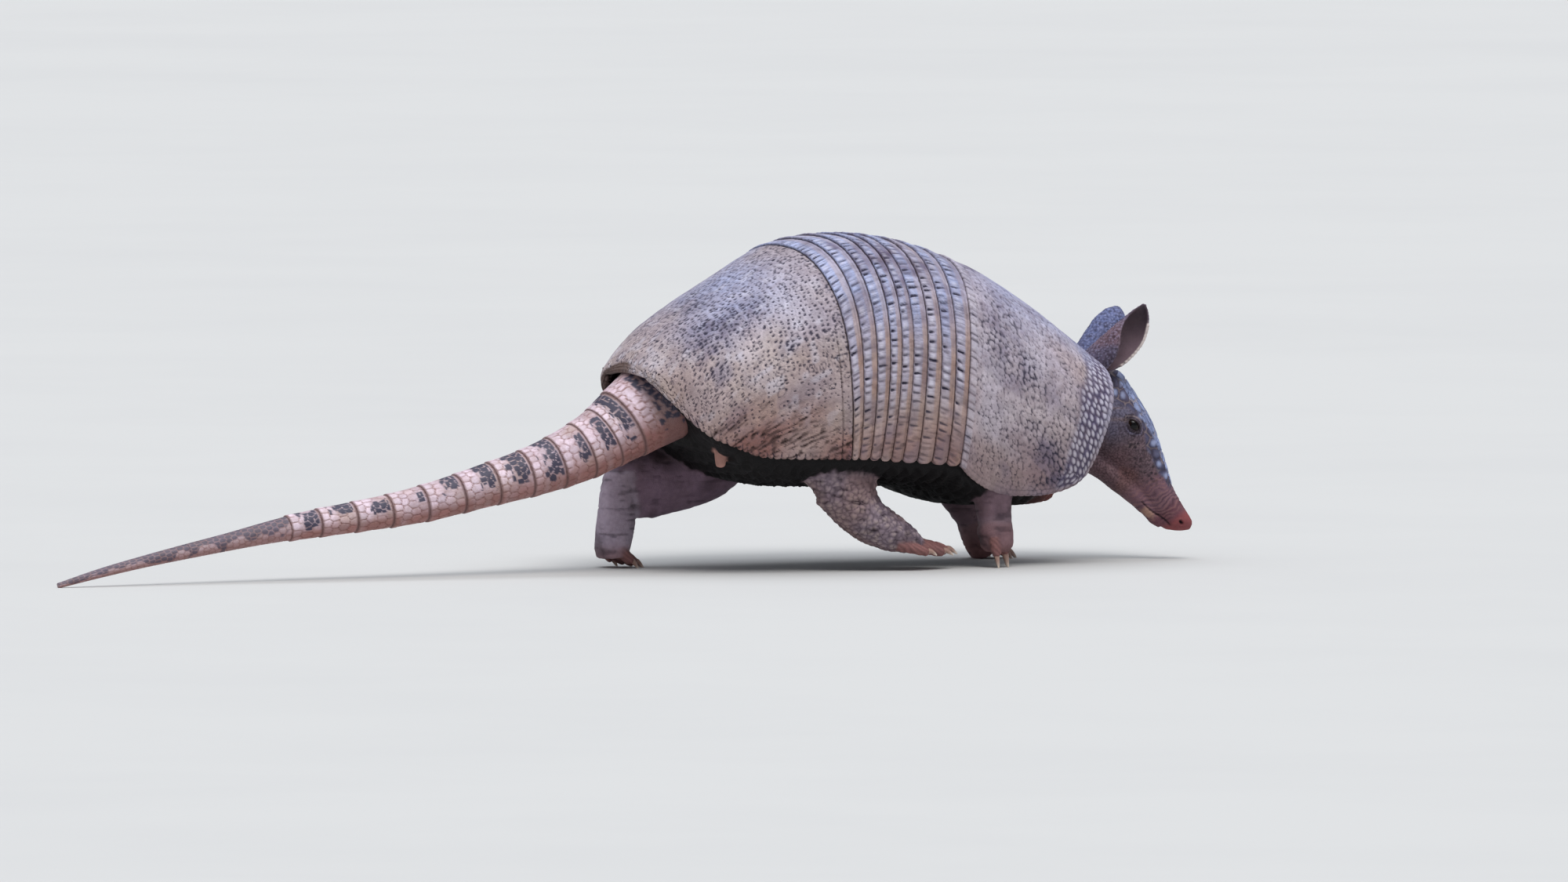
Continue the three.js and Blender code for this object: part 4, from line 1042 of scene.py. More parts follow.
def dashes(around: Array, pitch: float, width: float | Array, seed: int) -> tuple[Array, Array, Array]:
    """Divide a hoop into scutes.

    Args:
        around: millimetres round the hoop.
        pitch: length of one scute round the hoop.
        width: half-width of the furrow between two scutes.
        seed: whole number that picks the pattern.

    Returns:
        The furrow between scutes, the swell of each scute and a number for each scute.
    """
    place = around / pitch
    number = np.floor(place).astype(int)
    near = [np.abs(place - k - 0.5 * (hashed(k, np.int64(seed)) - 0.5)) * pitch for k in (number, number + 1)]
    nearer = np.where(near[0] < near[1], number, number + 1)
    distance = np.minimum(*near)
    depth = 0.35 + 0.65 * rise(0.1, 0.8, hashed(nearer, np.int64(seed + 5)))
    swell = clip01(distance / (0.5 * pitch))
    furrow = fall(0.3 * width, width, distance) * depth
    return furrow, 1.0 - (1.0 - swell) ** 2.2, hashed(number, np.int64(seed + 3))


def clouded(points: Array, clouds: list[list[int]]) -> Array:
    """Return how thickly clouds cover each point, 0 to 1; the left side mirrors the right."""
    flat = points.reshape(-1, 3)
    drift = 5.0 * value_noise(flat, 9.0, 77) + 2.5 * value_noise(flat, 3.5, 78)
    cover = np.zeros(len(flat))
    for x, y, z, radius in clouds:
        away = np.linalg.norm(flat * (1, -1, 1) - (x, y, z), axis=1)
        near = np.linalg.norm(flat - (x, y, z), axis=1)
        cover += np.exp(-((np.maximum(np.minimum(near, away) + drift, 0.0) / radius) ** 2) * 0.7)
    return clip01(cover).reshape(points.shape[:-1])


def scallop(patch: Patch, inward: Array) -> None:
    """Draw a patch's side margins in.

    Args:
        patch: the patch to change.
        inward: millimetres at each point.
    """
    points, columns = patch.points, patch.points.shape[1]
    from_right = unit(points[:, 3] - points[:, 0])[:, None]
    from_left = unit(points[:, -4] - points[:, -1])[:, None]
    on_right = (np.arange(columns) < columns // 2)[None, :, None]
    patch.points = points + np.where(on_right, from_right, from_left) * inward[..., None]


@dataclass
class Shell:
    """The pelvic shield, the nine bands and the scapular shield."""

    pelvic_rows: int = 214
    pelvic_columns: int = 410
    band_rows: int = 26
    scapular_rows: int = 196
    columns: int = 440
    band_columns: int = 620

    def pelvic(self) -> Object:
        """Build the shield over the hips: pits between small scutes, and an arch over the tail."""
        patch = Patch.between(0, LAST_PELVIC, self.pelvic_rows, self.pelvic_columns)
        s, w, z, edge = patch.ahead, patch.around, patch.height, patch.margin
        cloud = FlatNoise(s, w)
        high = rise(86, 150, z + 6 * cloud(30, 30, 12))
        low = fall(70, 108, z + 8 * cloud(30, 30, 13))
        dark, bare = clouded(patch.points, DARK_CLOUDS), clouded(patch.points, BARE_CLOUDS)
        warp, weft = cloud(9, 9, 3), cloud(9, 9, 4)
        cells = flat_cells(s / PIT_PITCH[0] + 0.35 * warp, w / PIT_PITCH[1] + 0.35 * weft, 0.55, 11)
        along, across = s / ROSETTE_PITCH[0] + 0.3 * weft, w / ROSETTE_PITCH[1] + 0.3 * warp
        rosettes = flat_cells(along, across, 0.4, 29)
        size = 0.17 + 0.09 * high + 0.08 * dark - 0.04 * low - 0.03 * bare + 0.05 * cloud(22, 22, 5)
        size = size * (0.65 + 0.7 * cells.shade)
        keep = rise(0.22, 0.32, cells.shade + 0.3 * high + 0.4 * dark - 0.2 * low + 0.3 * cloud(17, 17, 9))
        pit = fall(0.6 * size, 1.25 * size, cells.first) * keep
        ring = fall(0.02, 0.09, np.abs(rosettes.first - 0.30)) * rise(0.6, 0.75, rosettes.shade) * (1 - low)
        net = cells.groove(0.24) * (0.35 + 0.35 * high + 0.35 * dark) * clip01(0.6 + cloud(11, 11, 20))
        net += rosettes.groove(0.08) * 0.3 * low
        streak = (rise(0.15, 0.7, cloud(6, 1.5, 17)) + rise(0.3, 0.75, cloud(3.2, 1.3, 18))) * low
        groove, swell, _ = dashes(s + 1.4 * cloud(8, 8, 2), HEM_PITCH, 0.6, 31)
        hem = fall(3.4, 4.6, edge)
        hem_line = bell(edge, 4.6, 0.5) * (0.5 + 0.5 * cloud(7, 7, 19))
        arch = np.where(w > 0, np.minimum(patch.back, edge + 9 * rise(30, 45, patch.back)), patch.back)
        rear = fall(5.4, 6.2, arch)
        ridges = rear * (0.5 - 0.5 * np.cos(arch * 2 * np.pi / 1.9)) * rise(-14, 4, w)
        rear_line = bell(patch.back, 6.0, 0.4)
        rear_groove = dashes(w, 4.4, 0.5, 53)[0] * rear
        fused = bell(s, 6.4, 0.38) * fall(112, 146, z)
        cross = dashes(w, 4.6, 0.6, 61)[0] * fall(6.0, 7.0, s) * (0.35 + 0.65 * cloud(4, 6, 71).clip(0, 1))
        relief = -0.50 * pit - 0.16 * net - 0.36 * streak - 0.2 * ring + 0.14 * cloud(5, 5, 41) - 0.14
        relief += 0.25 * cloud(19, 11, 43) * low - 0.1
        relief -= 0.9 * groove * hem + 0.3 * hem_line + 0.45 * rear_groove + 0.3 * rear_line + 0.35 * ridges
        relief -= 0.45 * fused + 0.35 * cross + round_off(edge, 2.2) + round_off(patch.back, 1.6)
        relief -= 0.5 * rise(1.2, 0.0, s)
        relief = np.minimum(relief + 0.15 * swell * hem, 0.0)
        scallop(patch, 0.9 * (1 - swell) * rise(3.0, 0.0, edge))
        marks = {
            "pit": clip01(0.95 * pit + 0.4 * net + 0.6 * ring + 1.0 * groove * hem + 0.3 * rear_groove),
            # line: seams, cracks and ridges; the front edge, under the first band, is painted dark as that
            # band's shadow.
            "line": clip01(0.8 * fused + rise(1.0, 0.2, s) + 0.75 * streak + 0.3 * rear_line + 0.5 * ridges
                           + 0.5 * cross + 0.4 * hem_line + 0.4 * rear * rise(-14, 4, w)),
            # blue: bluer towards the top, a painted sky reflection; a little bluer in the dark clouds, the
            # horn's own tone.
            "blue": clip01(rise(118, 160, z) * (0.7 + 0.5 * cloud(40, 40, 7)) + 0.25 * dark) * 0.85,
            "clay": low * clip01(0.8 + 0.5 * cloud(30, 12, 8)),
            "brown": clip01(rear * rise(-14, 4, w) + 0.5 * (1 - high) * cloud(26, 20, 21)),
            "cloud": clip01(0.6 * dark * (0.7 + 0.5 * cloud(4, 4, 14))
                            + 0.25 * rise(0.3, 0.8, cloud(14, 10, 15))),
            "pale": clip01(0.25 * bare + 0.3 * rise(0.3, 0.8, cloud(7, 5, 16)) * (1 - low)
                           + 0.4 * rise(0.5, 0.1, rosettes.first) * fall(8, 16, patch.back) * (w < 0)),
            "shade": 0.6 * cells.shade + 0.4 * rosettes.shade,
            "lip": rear * rise(-16, -2, w) * (0.95 - 0.45 * ridges),
        }
        return build_plate("carapace_pelvic_shield", patch, relief, marks, 9.0)

    def band(self, number: int) -> Object:
        """Build one movable band: swollen scutes on its rear part, a plain strip in front."""
        first = LAST_PELVIC + number - 1
        patch = Patch.between(first, first + BAND_REACH, self.band_rows, self.band_columns)
        span = patch.back[-1:] / BAND_REACH
        t, w, z, edge = patch.back / span, patch.around, patch.height, patch.margin
        cloud = FlatNoise(patch.back, w, 100 * number)
        high = rise(112, 164, z)
        middle = rise(84, 112, z) * (1 - high)
        low = fall(70, 104, z)
        bumps = fall(0.54, 0.66, t + 0.05 * cloud(9, 9, 2))
        slant = 0.35 * patch.back * np.sign(w) * high + 0.25 * cloud(4, 9, 6)
        groove, swell, tone = dashes(w + slant, BAND_PITCH, 1.25 - 0.75 * t, 10 * number)
        strength = clip01(0.85 + 0.7 * cloud(50, 7, 21)) * (1.0 - 0.4 * low)
        reach = rise(0.0, 0.1, t) * fall(0.35, 0.7, t + 0.25 * cloud(50, 2.5, 22))
        dash = groove * reach * strength
        fine = dashes(w + slant, FINE_PITCH, 0.4, 10 * number + 5)[0] * bumps * (high + 0.5 * middle)
        hair = rise(0.3, 0.7, cloud(5, 1.3, 25)) * (0.35 + 0.5 * low)
        thread = bell(t, 0.80, 0.03) * rise(-0.2, 0.4, cloud(9, 20, 23))
        front = rise(0.955, 0.99, t)
        lift = STEP * fall(0.0, 0.75, t) - 0.55 * rise(0.6, 1.0, t) - 0.7 * rise(0.98, 1.1, t)
        lift += 0.5 * low * (1.0 - (2.0 * clip01(t) - 1.0) ** 2)
        relief = lift - (0.5 * middle
                         + 0.2) * (1.0 - swell) * bumps - 0.55 * dash - 0.2 * fine - 0.08 * thread
        relief += 0.14 * cloud(2.5, 2.5, 31) - 0.14 - 0.2 * hair
        relief -= round_off(patch.back, 0.9) + round_off(edge, 2.6) * 1.4
        corner = np.abs(2 * clip01(t) - 1.0) ** 3
        scallop(patch, 1.9 * corner * rise(6.0, 0.0, edge))
        marks = {
            "pit": clip01(1.25 * dash + 0.55 * fine),
            # line: the front edge is painted dark, partly as the shadow of the next band's rear edge and
            # partly as a brown seam.
            "line": clip01(front + 0.3 * thread + 0.4 * rise(0.06, 0.0, t) + 0.4 * hair),
            # blue: bluer towards the top, a painted sky reflection, and on the swollen scutes of the middle,
            # a painted bluish highlight.
            "blue": clip01(high * (0.95 + 0.5 * cloud(60, 30, 7)) + 0.6 * middle * bumps)
            * (0.6 + 0.4 * bumps),
            "clay": low * clip01(0.55 + 0.2 * cloud(30, 12, 8)),
            "brown": clip01(0.25 * middle + (1.0 - bumps) * (0.6 - 0.45 * high)
                            * (0.8 + 0.4 * cloud(6, 9, 9))),
            "cloud": clip01(0.55 * clouded(patch.points, DARK_CLOUDS)
                            + 0.5 * high * rise(0.1, 0.7, cloud(6, 9, 14))
                            + 0.3 * rise(0.1, 0.7, cloud(8, 8, 15))),
            # pale: a painted highlight on the swell of each scute in the bumpy rear part.
            "pale": clip01(swell**1.5 * bumps * rise(0.02, 0.2, t) * rise(0.62, 0.3, t)
                           * (0.75 * middle + 0.4 * high)
                           * (0.6 + 0.6 * cloud(50, 6, 16))),
            "shade": tone * 0.7 + 0.15,
        }
        return build_plate(f"carapace_band_{number}", patch, relief, marks, 2.6)

    def scapular(self) -> Object:
        """Build the shield over the shoulders: pits, and raised scutes round the front rim."""
        patch = Patch.between(LAST_BAND, LAST_HOOP, self.scapular_rows, self.columns)
        s, w, z, edge = patch.back, patch.around, patch.height, patch.margin
        cloud = FlatNoise(s, w)
        high = rise(100, 164, z)
        low = fall(52, 90, z)
        dark, bare = clouded(patch.points, DARK_CLOUDS), clouded(patch.points, BARE_CLOUDS)
        along, across = (part / pitch for part, pitch in zip((s, w), SHOULDER_PITCH))
        cells = flat_cells(along + 0.25 * cloud(8, 8, 1), across + 0.25 * cloud(8, 8, 2), 0.75, 211)
        size = np.clip(0.34 + 0.16 * cloud(24, 24, 5) + 0.2 * dark - 0.12 * bare + 0.2 * cloud(4, 4, 3), 0.08,
                       1)
        pit = cells.pit(size) * rise(-0.75, -0.35, cloud(5, 5, 4) + 0.5 * dark)
        fleck = flat_cells(s / FLECK_PITCH[0], w / FLECK_PITCH[1], 0.8, 221)
        specks = fall(0.10, 0.3, fleck.first) * rise(0.5, 0.7, fleck.shade + 0.3 * dark)
        pit = np.maximum(0.85 * pit, specks * 0.8)
        first_row = fall(4.6, 5.8, s)
        groove, swell, _ = dashes(w, BAND_PITCH, 0.7, 231)
        # The rim rows run parallel to the front edge and the side margins alike.
        ahead = np.minimum(patch.ahead, 1.15 * edge + 2.0)
        along = np.where(patch.ahead <= 1.15 * edge + 2.0, w, s)
        window = rise(38, 50, z) * fall(106, 128, z)
        rim = fall(21, 27, ahead + 5.0 * cloud(16, 16, 6))
        knobs = window * fall(22, 29, patch.ahead + 5.0 * cloud(16, 16, 6))
        squares = flat_cells(ahead / KNOB_PITCH[0] + 0.15 * cloud(7, 7, 8),
                             along / KNOB_PITCH[1] + 0.15 * cloud(7, 7, 9), 0.4, 251)
        square = squares.groove(0.28) * clip01(knobs + 0.3 * rim)
        knob = fall(0.16, 0.48, squares.first) * knobs
        hem = fall(9, 13, ahead)
        rows = bell(np.mod(ahead, 3.9), 0.2, 0.5) * hem
        pit = pit * (1.0 - 0.9 * knobs) * (1.0 - first_row) * (1 - 0.7 * hem)
        net = cells.groove(0.2) * (1.0 - knobs) * (0.7 + 0.3 * dark) * clip01(0.5 + cloud(9, 9, 20))
        relief = -0.15 + STEP * fall(0.0, 7.0, s) + 0.12 * cloud(5, 5, 41)
        relief -= 0.55 * pit + 0.24 * net + 0.45 * square + 0.2 * rows - 0.15 * knob
        relief -= first_row * (0.25 * (1.0 - swell) + 0.4 * groove * rise(0.3, 1.0, s))
        relief -= round_off(s, 0.9) + round_off(edge, 2.4) + round_off(patch.ahead, 2.0)
        ground = knobs * rise(2, 9, ahead) * (0.55 + 0.45 * rise(18, 12, ahead))
        marks = {
            "pit": clip01(0.72 * pit + 0.2 * pit * dark + 0.5 * net + 0.5 * square + 0.8 * first_row * groove
                          + 0.3 * rows),
            "line": 0.35 * fall(0.1, 0.5, s),
            # blue: bluer towards the top, a painted sky reflection; bluer along the rim and a little
            # everywhere, the horn's own tone.
            "blue": clip01(0.85 * high * (0.6 + 0.5 * cloud(40, 40, 7)) + 0.4 * rim * (1 - low) + 0.22),
            "clay": low * clip01(0.35 + 0.3 * cloud(30, 12, 8)) * (1 - 0.6 * knobs),
            "brown": 0.5 * clip01(cloud(22, 22, 19) + 0.1) * (1 - high),
            "cloud": clip01(0.6 * dark * (0.7 + 0.5 * cloud(4, 4, 14)) + 1.0 * ground * (1 - knob)
                            + 0.2 * knobs + 0.1 * low
                            + 0.35 * high * rim + 0.35 * rise(0.1, 0.8, cloud(12, 9, 15))),
            # pale: painted highlights on the rim's knobs and on the first row's swellings; pale bare patches
            # besides.
            "pale": clip01(0.5 * knob * rise(0, 8, ahead) + 0.25 * first_row * swell
                           + 0.2 * bare * (1 - knobs)),
            "shade": 0.7 * cells.shade * (1 - knobs) + 0.7 * squares.shade * knobs + 0.15,
        }
        scallop(patch, 0.5 * (1 - dashes(s, 4.4, 0.5, 261)[1]) * rise(3.0, 0.0, edge))
        return build_plate("carapace_scapular_shield", patch, relief, marks, 9.0)

    def build(self) -> None:
        """Build and dress the whole shell."""
        horn = SHELL_HORN.material()
        declare(self.pelvic(), horn, "shell", "pelvic_shield")
        for number in range(1, len(BANDS)):
            declare(self.band(number), horn, "shell", f"band_{number}")
        declare(self.scapular(), horn, "shell", "scapular_shield")


# ------------ tail
@dataclass
class Tail:
    """Twelve overlapping rings of scutes and two long tip pieces."""

    columns: int = 132
    rows: int = 34
    tip_columns: int = 64
    tip_rows: int = 150

    @staticmethod
    def hoop(x: Array, z: Array, radius: Array, slope: Array, angle: Array, width: Array) -> Array:
        """Place points round the tail.

        Args:
            x: centres' x, a column.
            z: centres' z, a column.
            radius: radii, rows by columns.
            slope: how steeply the tail falls, a column.
            angle: turns round the tail from its top, a row.
            width: how much wider than tall the tail is, a column.

        Returns:
            Rows of points.
        """
        rise = radius * np.cos(angle)
        across = radius * width * np.sin(angle)
        return np.stack([x - rise * np.sin(slope), across + 0 * x, z + rise * np.cos(slope)], -1)

    @staticmethod
    def round_noise(along: Array, angle: Array, radius: float, size: float, seed: int) -> Array:
        """Return noise over the tail, for a column of places along it and a row of angles."""
        parts = np.broadcast_arrays(along, radius * np.cos(angle), radius * np.sin(angle))
        return value_noise(np.stack(parts, -1).reshape(-1, 3), size, seed).reshape(len(along), -1)

    def ring(self, number: int) -> Object:
        """Build one ring: a plain band at its front, then rows of scutes and a flared rear rim."""
        front, rear = TAIL_EDGES[number - 1], TAIL_EDGES[number]
        length = math.hypot(front[0] - rear[0], front[1] - rear[1])
        hidden = 3.0 / length
        share = np.linspace(-hidden, 1.0, self.rows)[:, None]
        centres = smooth_rows(TAIL_EDGES, np.clip(number - 1 + share[:, 0], 0, len(TAIL_EDGES) - 1))
        x, z, base = centres[:, 0, None], centres[:, 1, None], centres[:, 2, None]
        slope = np.arctan2(-np.gradient(z, axis=0), -np.gradient(x, axis=0))
        angle = circle(self.columns)
        s = share * length
        count = max(9, round(2 * np.pi * base.mean() / 4.5))
        a = s / (length / max(3, round(length / 5.4)))
        cloud = self.round_noise(s, angle, 6, 4.0, 50 + number)
        cells = flat_cells(a + 0.12 * cloud, angle / (2 * np.pi) * count + 0 * a, 0.34, 300 + number,
                           wrap=count)
        small = flat_cells(s / 3.7 + 0.1 * cloud, angle / (2 * np.pi) * 1.1 * count + 0 * a, 0.6,
                           400 + number)
        turn, spread, reach = TAIL_CLOUDS[number - 1]
        off = np.abs(np.abs(np.mod(angle + np.pi, 2 * np.pi) - np.pi)
                     - math.radians(turn)) / math.radians(spread)
        thick = 1.0 - np.maximum(off, np.abs(share / reach - 0.25) / 0.75)
        dark = rise(-0.04, 0.04, thick + 0.8 * (small.shade - 0.36) + 0.25 * cloud) * rise(0.06, 0.10, share)
        mixed = rise(-0.5, -0.2, thick + 0.4 * cloud)
        first = float(number == 1)
        small_groove = small.groove(0.12 + 0.07 * first) * mixed
        groove = cells.groove(0.17) * (1.0 - mixed)
        lip = rise(0.955, 0.975, share)
        collar = fall(0.03, 0.07, share + 0.01 * cloud)
        # On the first ring the brown front band reaches to mid-ring: partly painted shadow of the shell over
        # the tail's root.
        collar = np.maximum(collar, first * 0.7 * fall(0.40, 0.58, share + 0.08 * cloud))
        below = rise(0.25, -0.75, np.cos(angle))
        flare = 0.45 * rise(0.55, 1.0, share) - 1.1 * fall(-hidden, 0.08, share)
        relief = flare - 0.42 * groove * rise(0.06, 0.12,
                                              share) * (1 - lip) - 0.28 * small_groove + 0.08 * cloud
        relief -= 0.35 * bell(share, 0.05, 0.015) + round_off((1.0 - share) * length, 0.9)
        width = TAIL_BASE_WIDTH + (1.0 - TAIL_BASE_WIDTH) * clip01(share) if number == 1 else 1.0 + 0 * share
        grid = self.hoop(x, z, base + relief, slope, angle, width)
        wall = self.hoop(x[-1:], z[-1:], base[-1:] + relief[-1:] - 2.4, slope[-1:], angle, width[-1:])
        step = unit(grid[-1] - grid[-3])[None]
        edge = grid[-1:] + step * 0.15 + (wall - grid[-1:]) * 0.3
        rings = np.concatenate([grid, edge, wall])
        piece = loft(f"scutes_ring_{number}", rings)
        rows = np.concatenate([np.arange(self.rows), [self.rows - 1] * 2])
        marks = {
            "spot": clip01(0.95 * dark * (1 - small_groove)),
            "groove": clip01(0.8 * groove * (1 - collar) + 0.45 * small_groove * (1 - dark)),
            "brown": clip01(0.75 * collar + 0.8 * lip) + 0 * angle,
            "line": 0.45 * bell(share, 0.01, 0.02) + 0.3 * rise(0.99, 1.0, share) + 0 * angle,
            "clay": clip01(below + 0.35 * first + 0.3 * cloud) + 0 * share,
            "pale": clip01(rise(0.42, 0.66, share) * (1 - lip) * rise(-0.5, 0.3, np.cos(angle))
                           * (1 - cells.groove(0.3)) * (0.55 + 0.45 * first)),
            "shade": cells.shade * (1 - mixed) + small.shade * mixed,
        }
        flat = {key: np.append(value[rows].ravel(), [0.0, 0.0]) for key, value in marks.items()}
        mark(piece, **flat)
        return piece

    def tip(self, number: int, first: int, last: int) -> Object:
        """Build one tip piece: small scutes, dark on top and pinkish brown below."""
        along = np.linspace(first, last, self.tip_rows)
        centres = smooth_rows(TAIL_TIPS, along)
        x, z, radius = centres[:, 0, None], centres[:, 1, None], centres[:, 2, None]
        slope = np.arctan2(-np.gradient(z, axis=0), -np.gradient(x, axis=0))
        angle = circle(self.tip_columns)
        run = path_lengths(np.stack([x, 0 * x, z], -1), 0)
        count = 12 if number == 1 else 9
        cells = flat_cells(run / 3.6 + 0 * angle, angle / (2 * np.pi) * count + 0 * run, 0.3, 500 + number,
                           wrap=count)
        cloud = self.round_noise(run, angle, 5, 6.0, 60 + number)
        groove = cells.groove(0.22)
        grid = self.hoop(x, z, radius - 0.22 * groove * np.minimum(1.0, radius / 4.0), slope, angle,
                         1.0 + 0 * x)
        grid[..., 2] = np.maximum(grid[..., 2], 0.0)
        piece = loft(f"scutes_tip_{number}", grid)
        dark = rise(-0.1, 0.1, np.cos(angle) + 0.9 * cloud + 0.7 * (cells.shade - 0.5)
                    + (0.0 if number == 1 else 0.3))
        marks = {
            "spot": 0.8 * dark * (1 - groove),
            "groove": 0.7 * groove,
            "brown": 0.25 + 0 * groove,
            "line": 0 * groove,
            "clay": 0.8 * rise(0.3, -0.6, np.cos(angle)) + 0 * groove,
            "pale": 0 * groove,
            "shade": cells.shade,
        }
        mark(piece, **{key: np.append(value.ravel(), [0.0, 0.0]) for key, value in marks.items()})
        return piece

    def build(self) -> None:
        """Build and dress the whole tail."""
        scutes = TAIL_SCUTES.material()
        for number in range(1, len(TAIL_EDGES)):
            declare(self.ring(number), scutes, "tail", f"tail_ring_{number}")
        declare(self.tip(1, 0, TIP_SPLIT), scutes, "tail", "tail_tip_1")
        declare(self.tip(2, TIP_SPLIT, len(TAIL_TIPS) - 1), scutes, "tail", "tail_tip_2")


# ------------ head
# Along the head from brow to nose, and out through its top.
SNOUT_WAY = np.array([0.578, 0.0, -0.817])
CROWN_WAY = np.array([0.817, 0.0, 0.578])
BROW = np.array([22.0, 0.0, 84.0])


def head_points(rings: Array, angles: Array, grow: Array | float = 0.0) -> Array:
    """Place points on the head.

    Args:
        rings: head ring numbers, a row each.
        angles: turns from the top in radians, one for each column, or one for each point.
        grow: millimetres outside the head's surface.

    Returns:
        Rows of points in the head's frame.
    """
    table = smooth_rows(HEAD_RINGS, rings)
    top, low, half_width = table[:, None, 0:2], table[:, None, 2:4], table[:, None, 4]
    middle, up = (top + low) / 2, (top - low) / 2
    half = np.linalg.norm(up, axis=-1)
    way = up / half[..., None]
    rise = (half + grow) * np.cos(angles) + 0.08 * half * np.sin(angles) ** 2
    place = middle + way * rise[..., None]
    return np.stack([place[..., 0], (half_width + grow) * np.sin(angles), place[..., 1]], -1)


def shield_half_angle(rings: Array) -> Array:
    """Return how far round the head its shield reaches, in radians."""
    first, last = SHIELD_ROWS
    return np.radians(np.interp(rings, np.arange(first, last + 1), SHIELD_HALF_ANGLES))


@dataclass
class HeadShield:
    """The flat scales that cover the top of the head from the nose bridge to between the ears."""

    rows: int = 150
    columns: int = 110

    def build(self) -> None:
        """Build and dress the shield."""
        first, last = SHIELD_ROWS
        rings = np.linspace(last, first, self.rows)
        half = shield_half_angle(rings)[:, None]
        angles = np.linspace(-1.0, 1.0, self.columns)[None, :] * half
        local = head_points(rings, angles)
        back, around = path_lengths(local, 0), path_lengths(local, 1)
        margin = np.minimum(around, around[:, -1:] - around)
        around = around - around[:, self.columns // 2, None]
        body = from_head(local)
        patch = Patch(body, grid_normals(body), back, back[-1:] - back, around, margin)
        drift = value_noise(local.reshape(-1, 3), 6.0, 621).reshape(back.shape)
        cells = flat_cells(back / 6.6 + 0.15 * drift, around / 5.4 + 0.15 * drift, 0.6, 601)
        small = flat_cells(back / 2.2, around / 2.0, 0.5, 611)
        gap = fall(0.12, 0.26, cells.second - cells.first)
        edge = fall(0.02, 0.10, np.abs(cells.second - cells.first - 0.30))
        fine = small.groove(0.2) * gap
        dome = fall(0.0, 0.6, cells.first)
        relief = (0.15 * dome - 0.5 * gap - 0.15 * fine - 0.15 - round_off(margin, 2.0)
                  - round_off(patch.ahead, 2.5))
        relief -= 0.6 * fall(0.0, 3.0, margin) + 0.5 * fall(0.0, 3.0, patch.ahead)
        marks = {
            "groove": clip01(0.9 * gap * rise(-0.3, 0.4, drift)),
            "pit": clip01(0.6 * fine + 0.7 * edge * (1 - gap)),
            # pale: a painted highlight on each scale's dome, strongest along the middle line.
            "pale": clip01((0.2 + 0.6 * fall(1, 7, np.abs(around))) * dome * (0.6 + 0.6 * drift)),
            "shade": cells.shade,
        }
        piece = build_plate("head_shield_scales", patch, np.minimum(relief, 0.0), marks, 2.0, 0.4)
        declare(piece, HEAD_SCALES.material(), "head_scales", "head_shield")


@dataclass
class Eyes:
    """Two dark, wet eyes."""

    columns: int = 40
    rows: int = 28

    def build(self) -> None:
        """Build and dress both eyes."""
        material = WET_EYE.material()
        angle = circle(self.columns)
        turn = np.linspace(0.02, np.pi - 0.02, self.rows)[:, None]
        for side, name in ((-1.0, "right"), (1.0, "left")):
            x, y, z = EYE_CENTRE
            radius = EYE_RADIUS * 0.99
            out = radius * np.cos(turn) + 0 * angle
            local = np.stack([x + radius * np.sin(turn) * np.cos(angle), side * (y + out),
                              z + radius * np.sin(turn) * np.sin(angle)], -1)
            piece = loft(f"eye_ball_{name}", from_head(local))
            reach = np.append(turn.ravel().repeat(self.columns), [0.0, np.pi])
            mark(piece, pupil=fall(0.38, 0.46, reach), white=rise(0.95, 1.15, reach))
            declare(piece, material, "eye", f"eye_{name}")


# ------------ claws
def claw_path(toe: list[float]) -> tuple[Array, Array]:
    """Lay out one claw.

    Args:
        toe: a row of a toe table.

    Returns:
        Points along the claw and the radius at each.
    """
    root, end, tip, radius = np.array(toe[0:3]), np.array(toe[3:6]), np.array(toe[8:11]), toe[7]
    along = unit(end - root)
    base = end - along * 1.2
    arch = np.array([0.0, 0.0, 0.16 * np.linalg.norm(tip - end)])
    bed = end + along * 0.8
    points = [base, bed, bed + (tip - bed) * 0.45 + arch, bed + (tip - bed) * 0.8 + arch * 0.6, tip]
    rows = np.column_stack([points, [radius * 0.62, radius * 0.7, radius * 0.56, radius * 0.33, 0.35]])
    fine = smooth_rows(rows, np.linspace(0, 4, 30))
    return fine[:, :3], fine[:, 3]


@dataclass
class Claws:
    """Eighteen claws: five on each hind foot and four on each forefoot."""

    columns: int = 20

    def build(self) -> None:
        """Build and dress every claw."""
        horn = CLAW_HORN.material()
        angle = circle(self.columns)
        for foot, toes in TOES.items():
            limb, side = foot.split("_")
            for number, toe in enumerate(toes, 1):
                path, radius = claw_path(toe)
                deep, wide = ring_frames(path)
                tall = radius[:, None] * np.where(np.cos(angle) < 0, 0.72, 1.12) * np.cos(angle)
                broad = radius[:, None] * np.sin(angle) * 0.92
                rings = path[:, None] + deep[:, None] * tall[..., None] + wide[:, None] * broad[..., None]
                if limb == "fore" or side == "left":
                    rings[..., 2] = np.maximum(rings[..., 2], 0.0)
                piece = loft(f"claw_{foot}_{number}", rings)
                share = np.linspace(0, 1, len(path))[:, None] + 0 * angle
                ridge = bell(np.cos(angle * 3.0), 1.0, 0.12) + 0 * share
                mark(piece, root=np.append(fall(0.2, 0.5, share), [1.0, 0.0]),
                     ridge=np.append(0.5 * ridge, [0.0, 0.0]),
                     tip=np.append(rise(0.6, 0.95, share), [0.0, 0.0]))
                declare(piece, horn, "claw", f"{limb}_claw_{side}_{number}")


# ------------ skin
class Region(Enum):
    """Parts of the skin that differ in colour and relief."""

    HIDDEN = 0
    BELLY = 1
    LEG = 2
    FOOT = 3
    TOE = 4
    NECK = 5
    HEAD = 6
    EAR = 7
    EAR_IN = 8
    FRINGE = 9
    TEAT = 10


HIDDEN, BELLY, LEG, FOOT, TOE, NECK, HEAD, EAR, EAR_IN, FRINGE, TEAT = Region
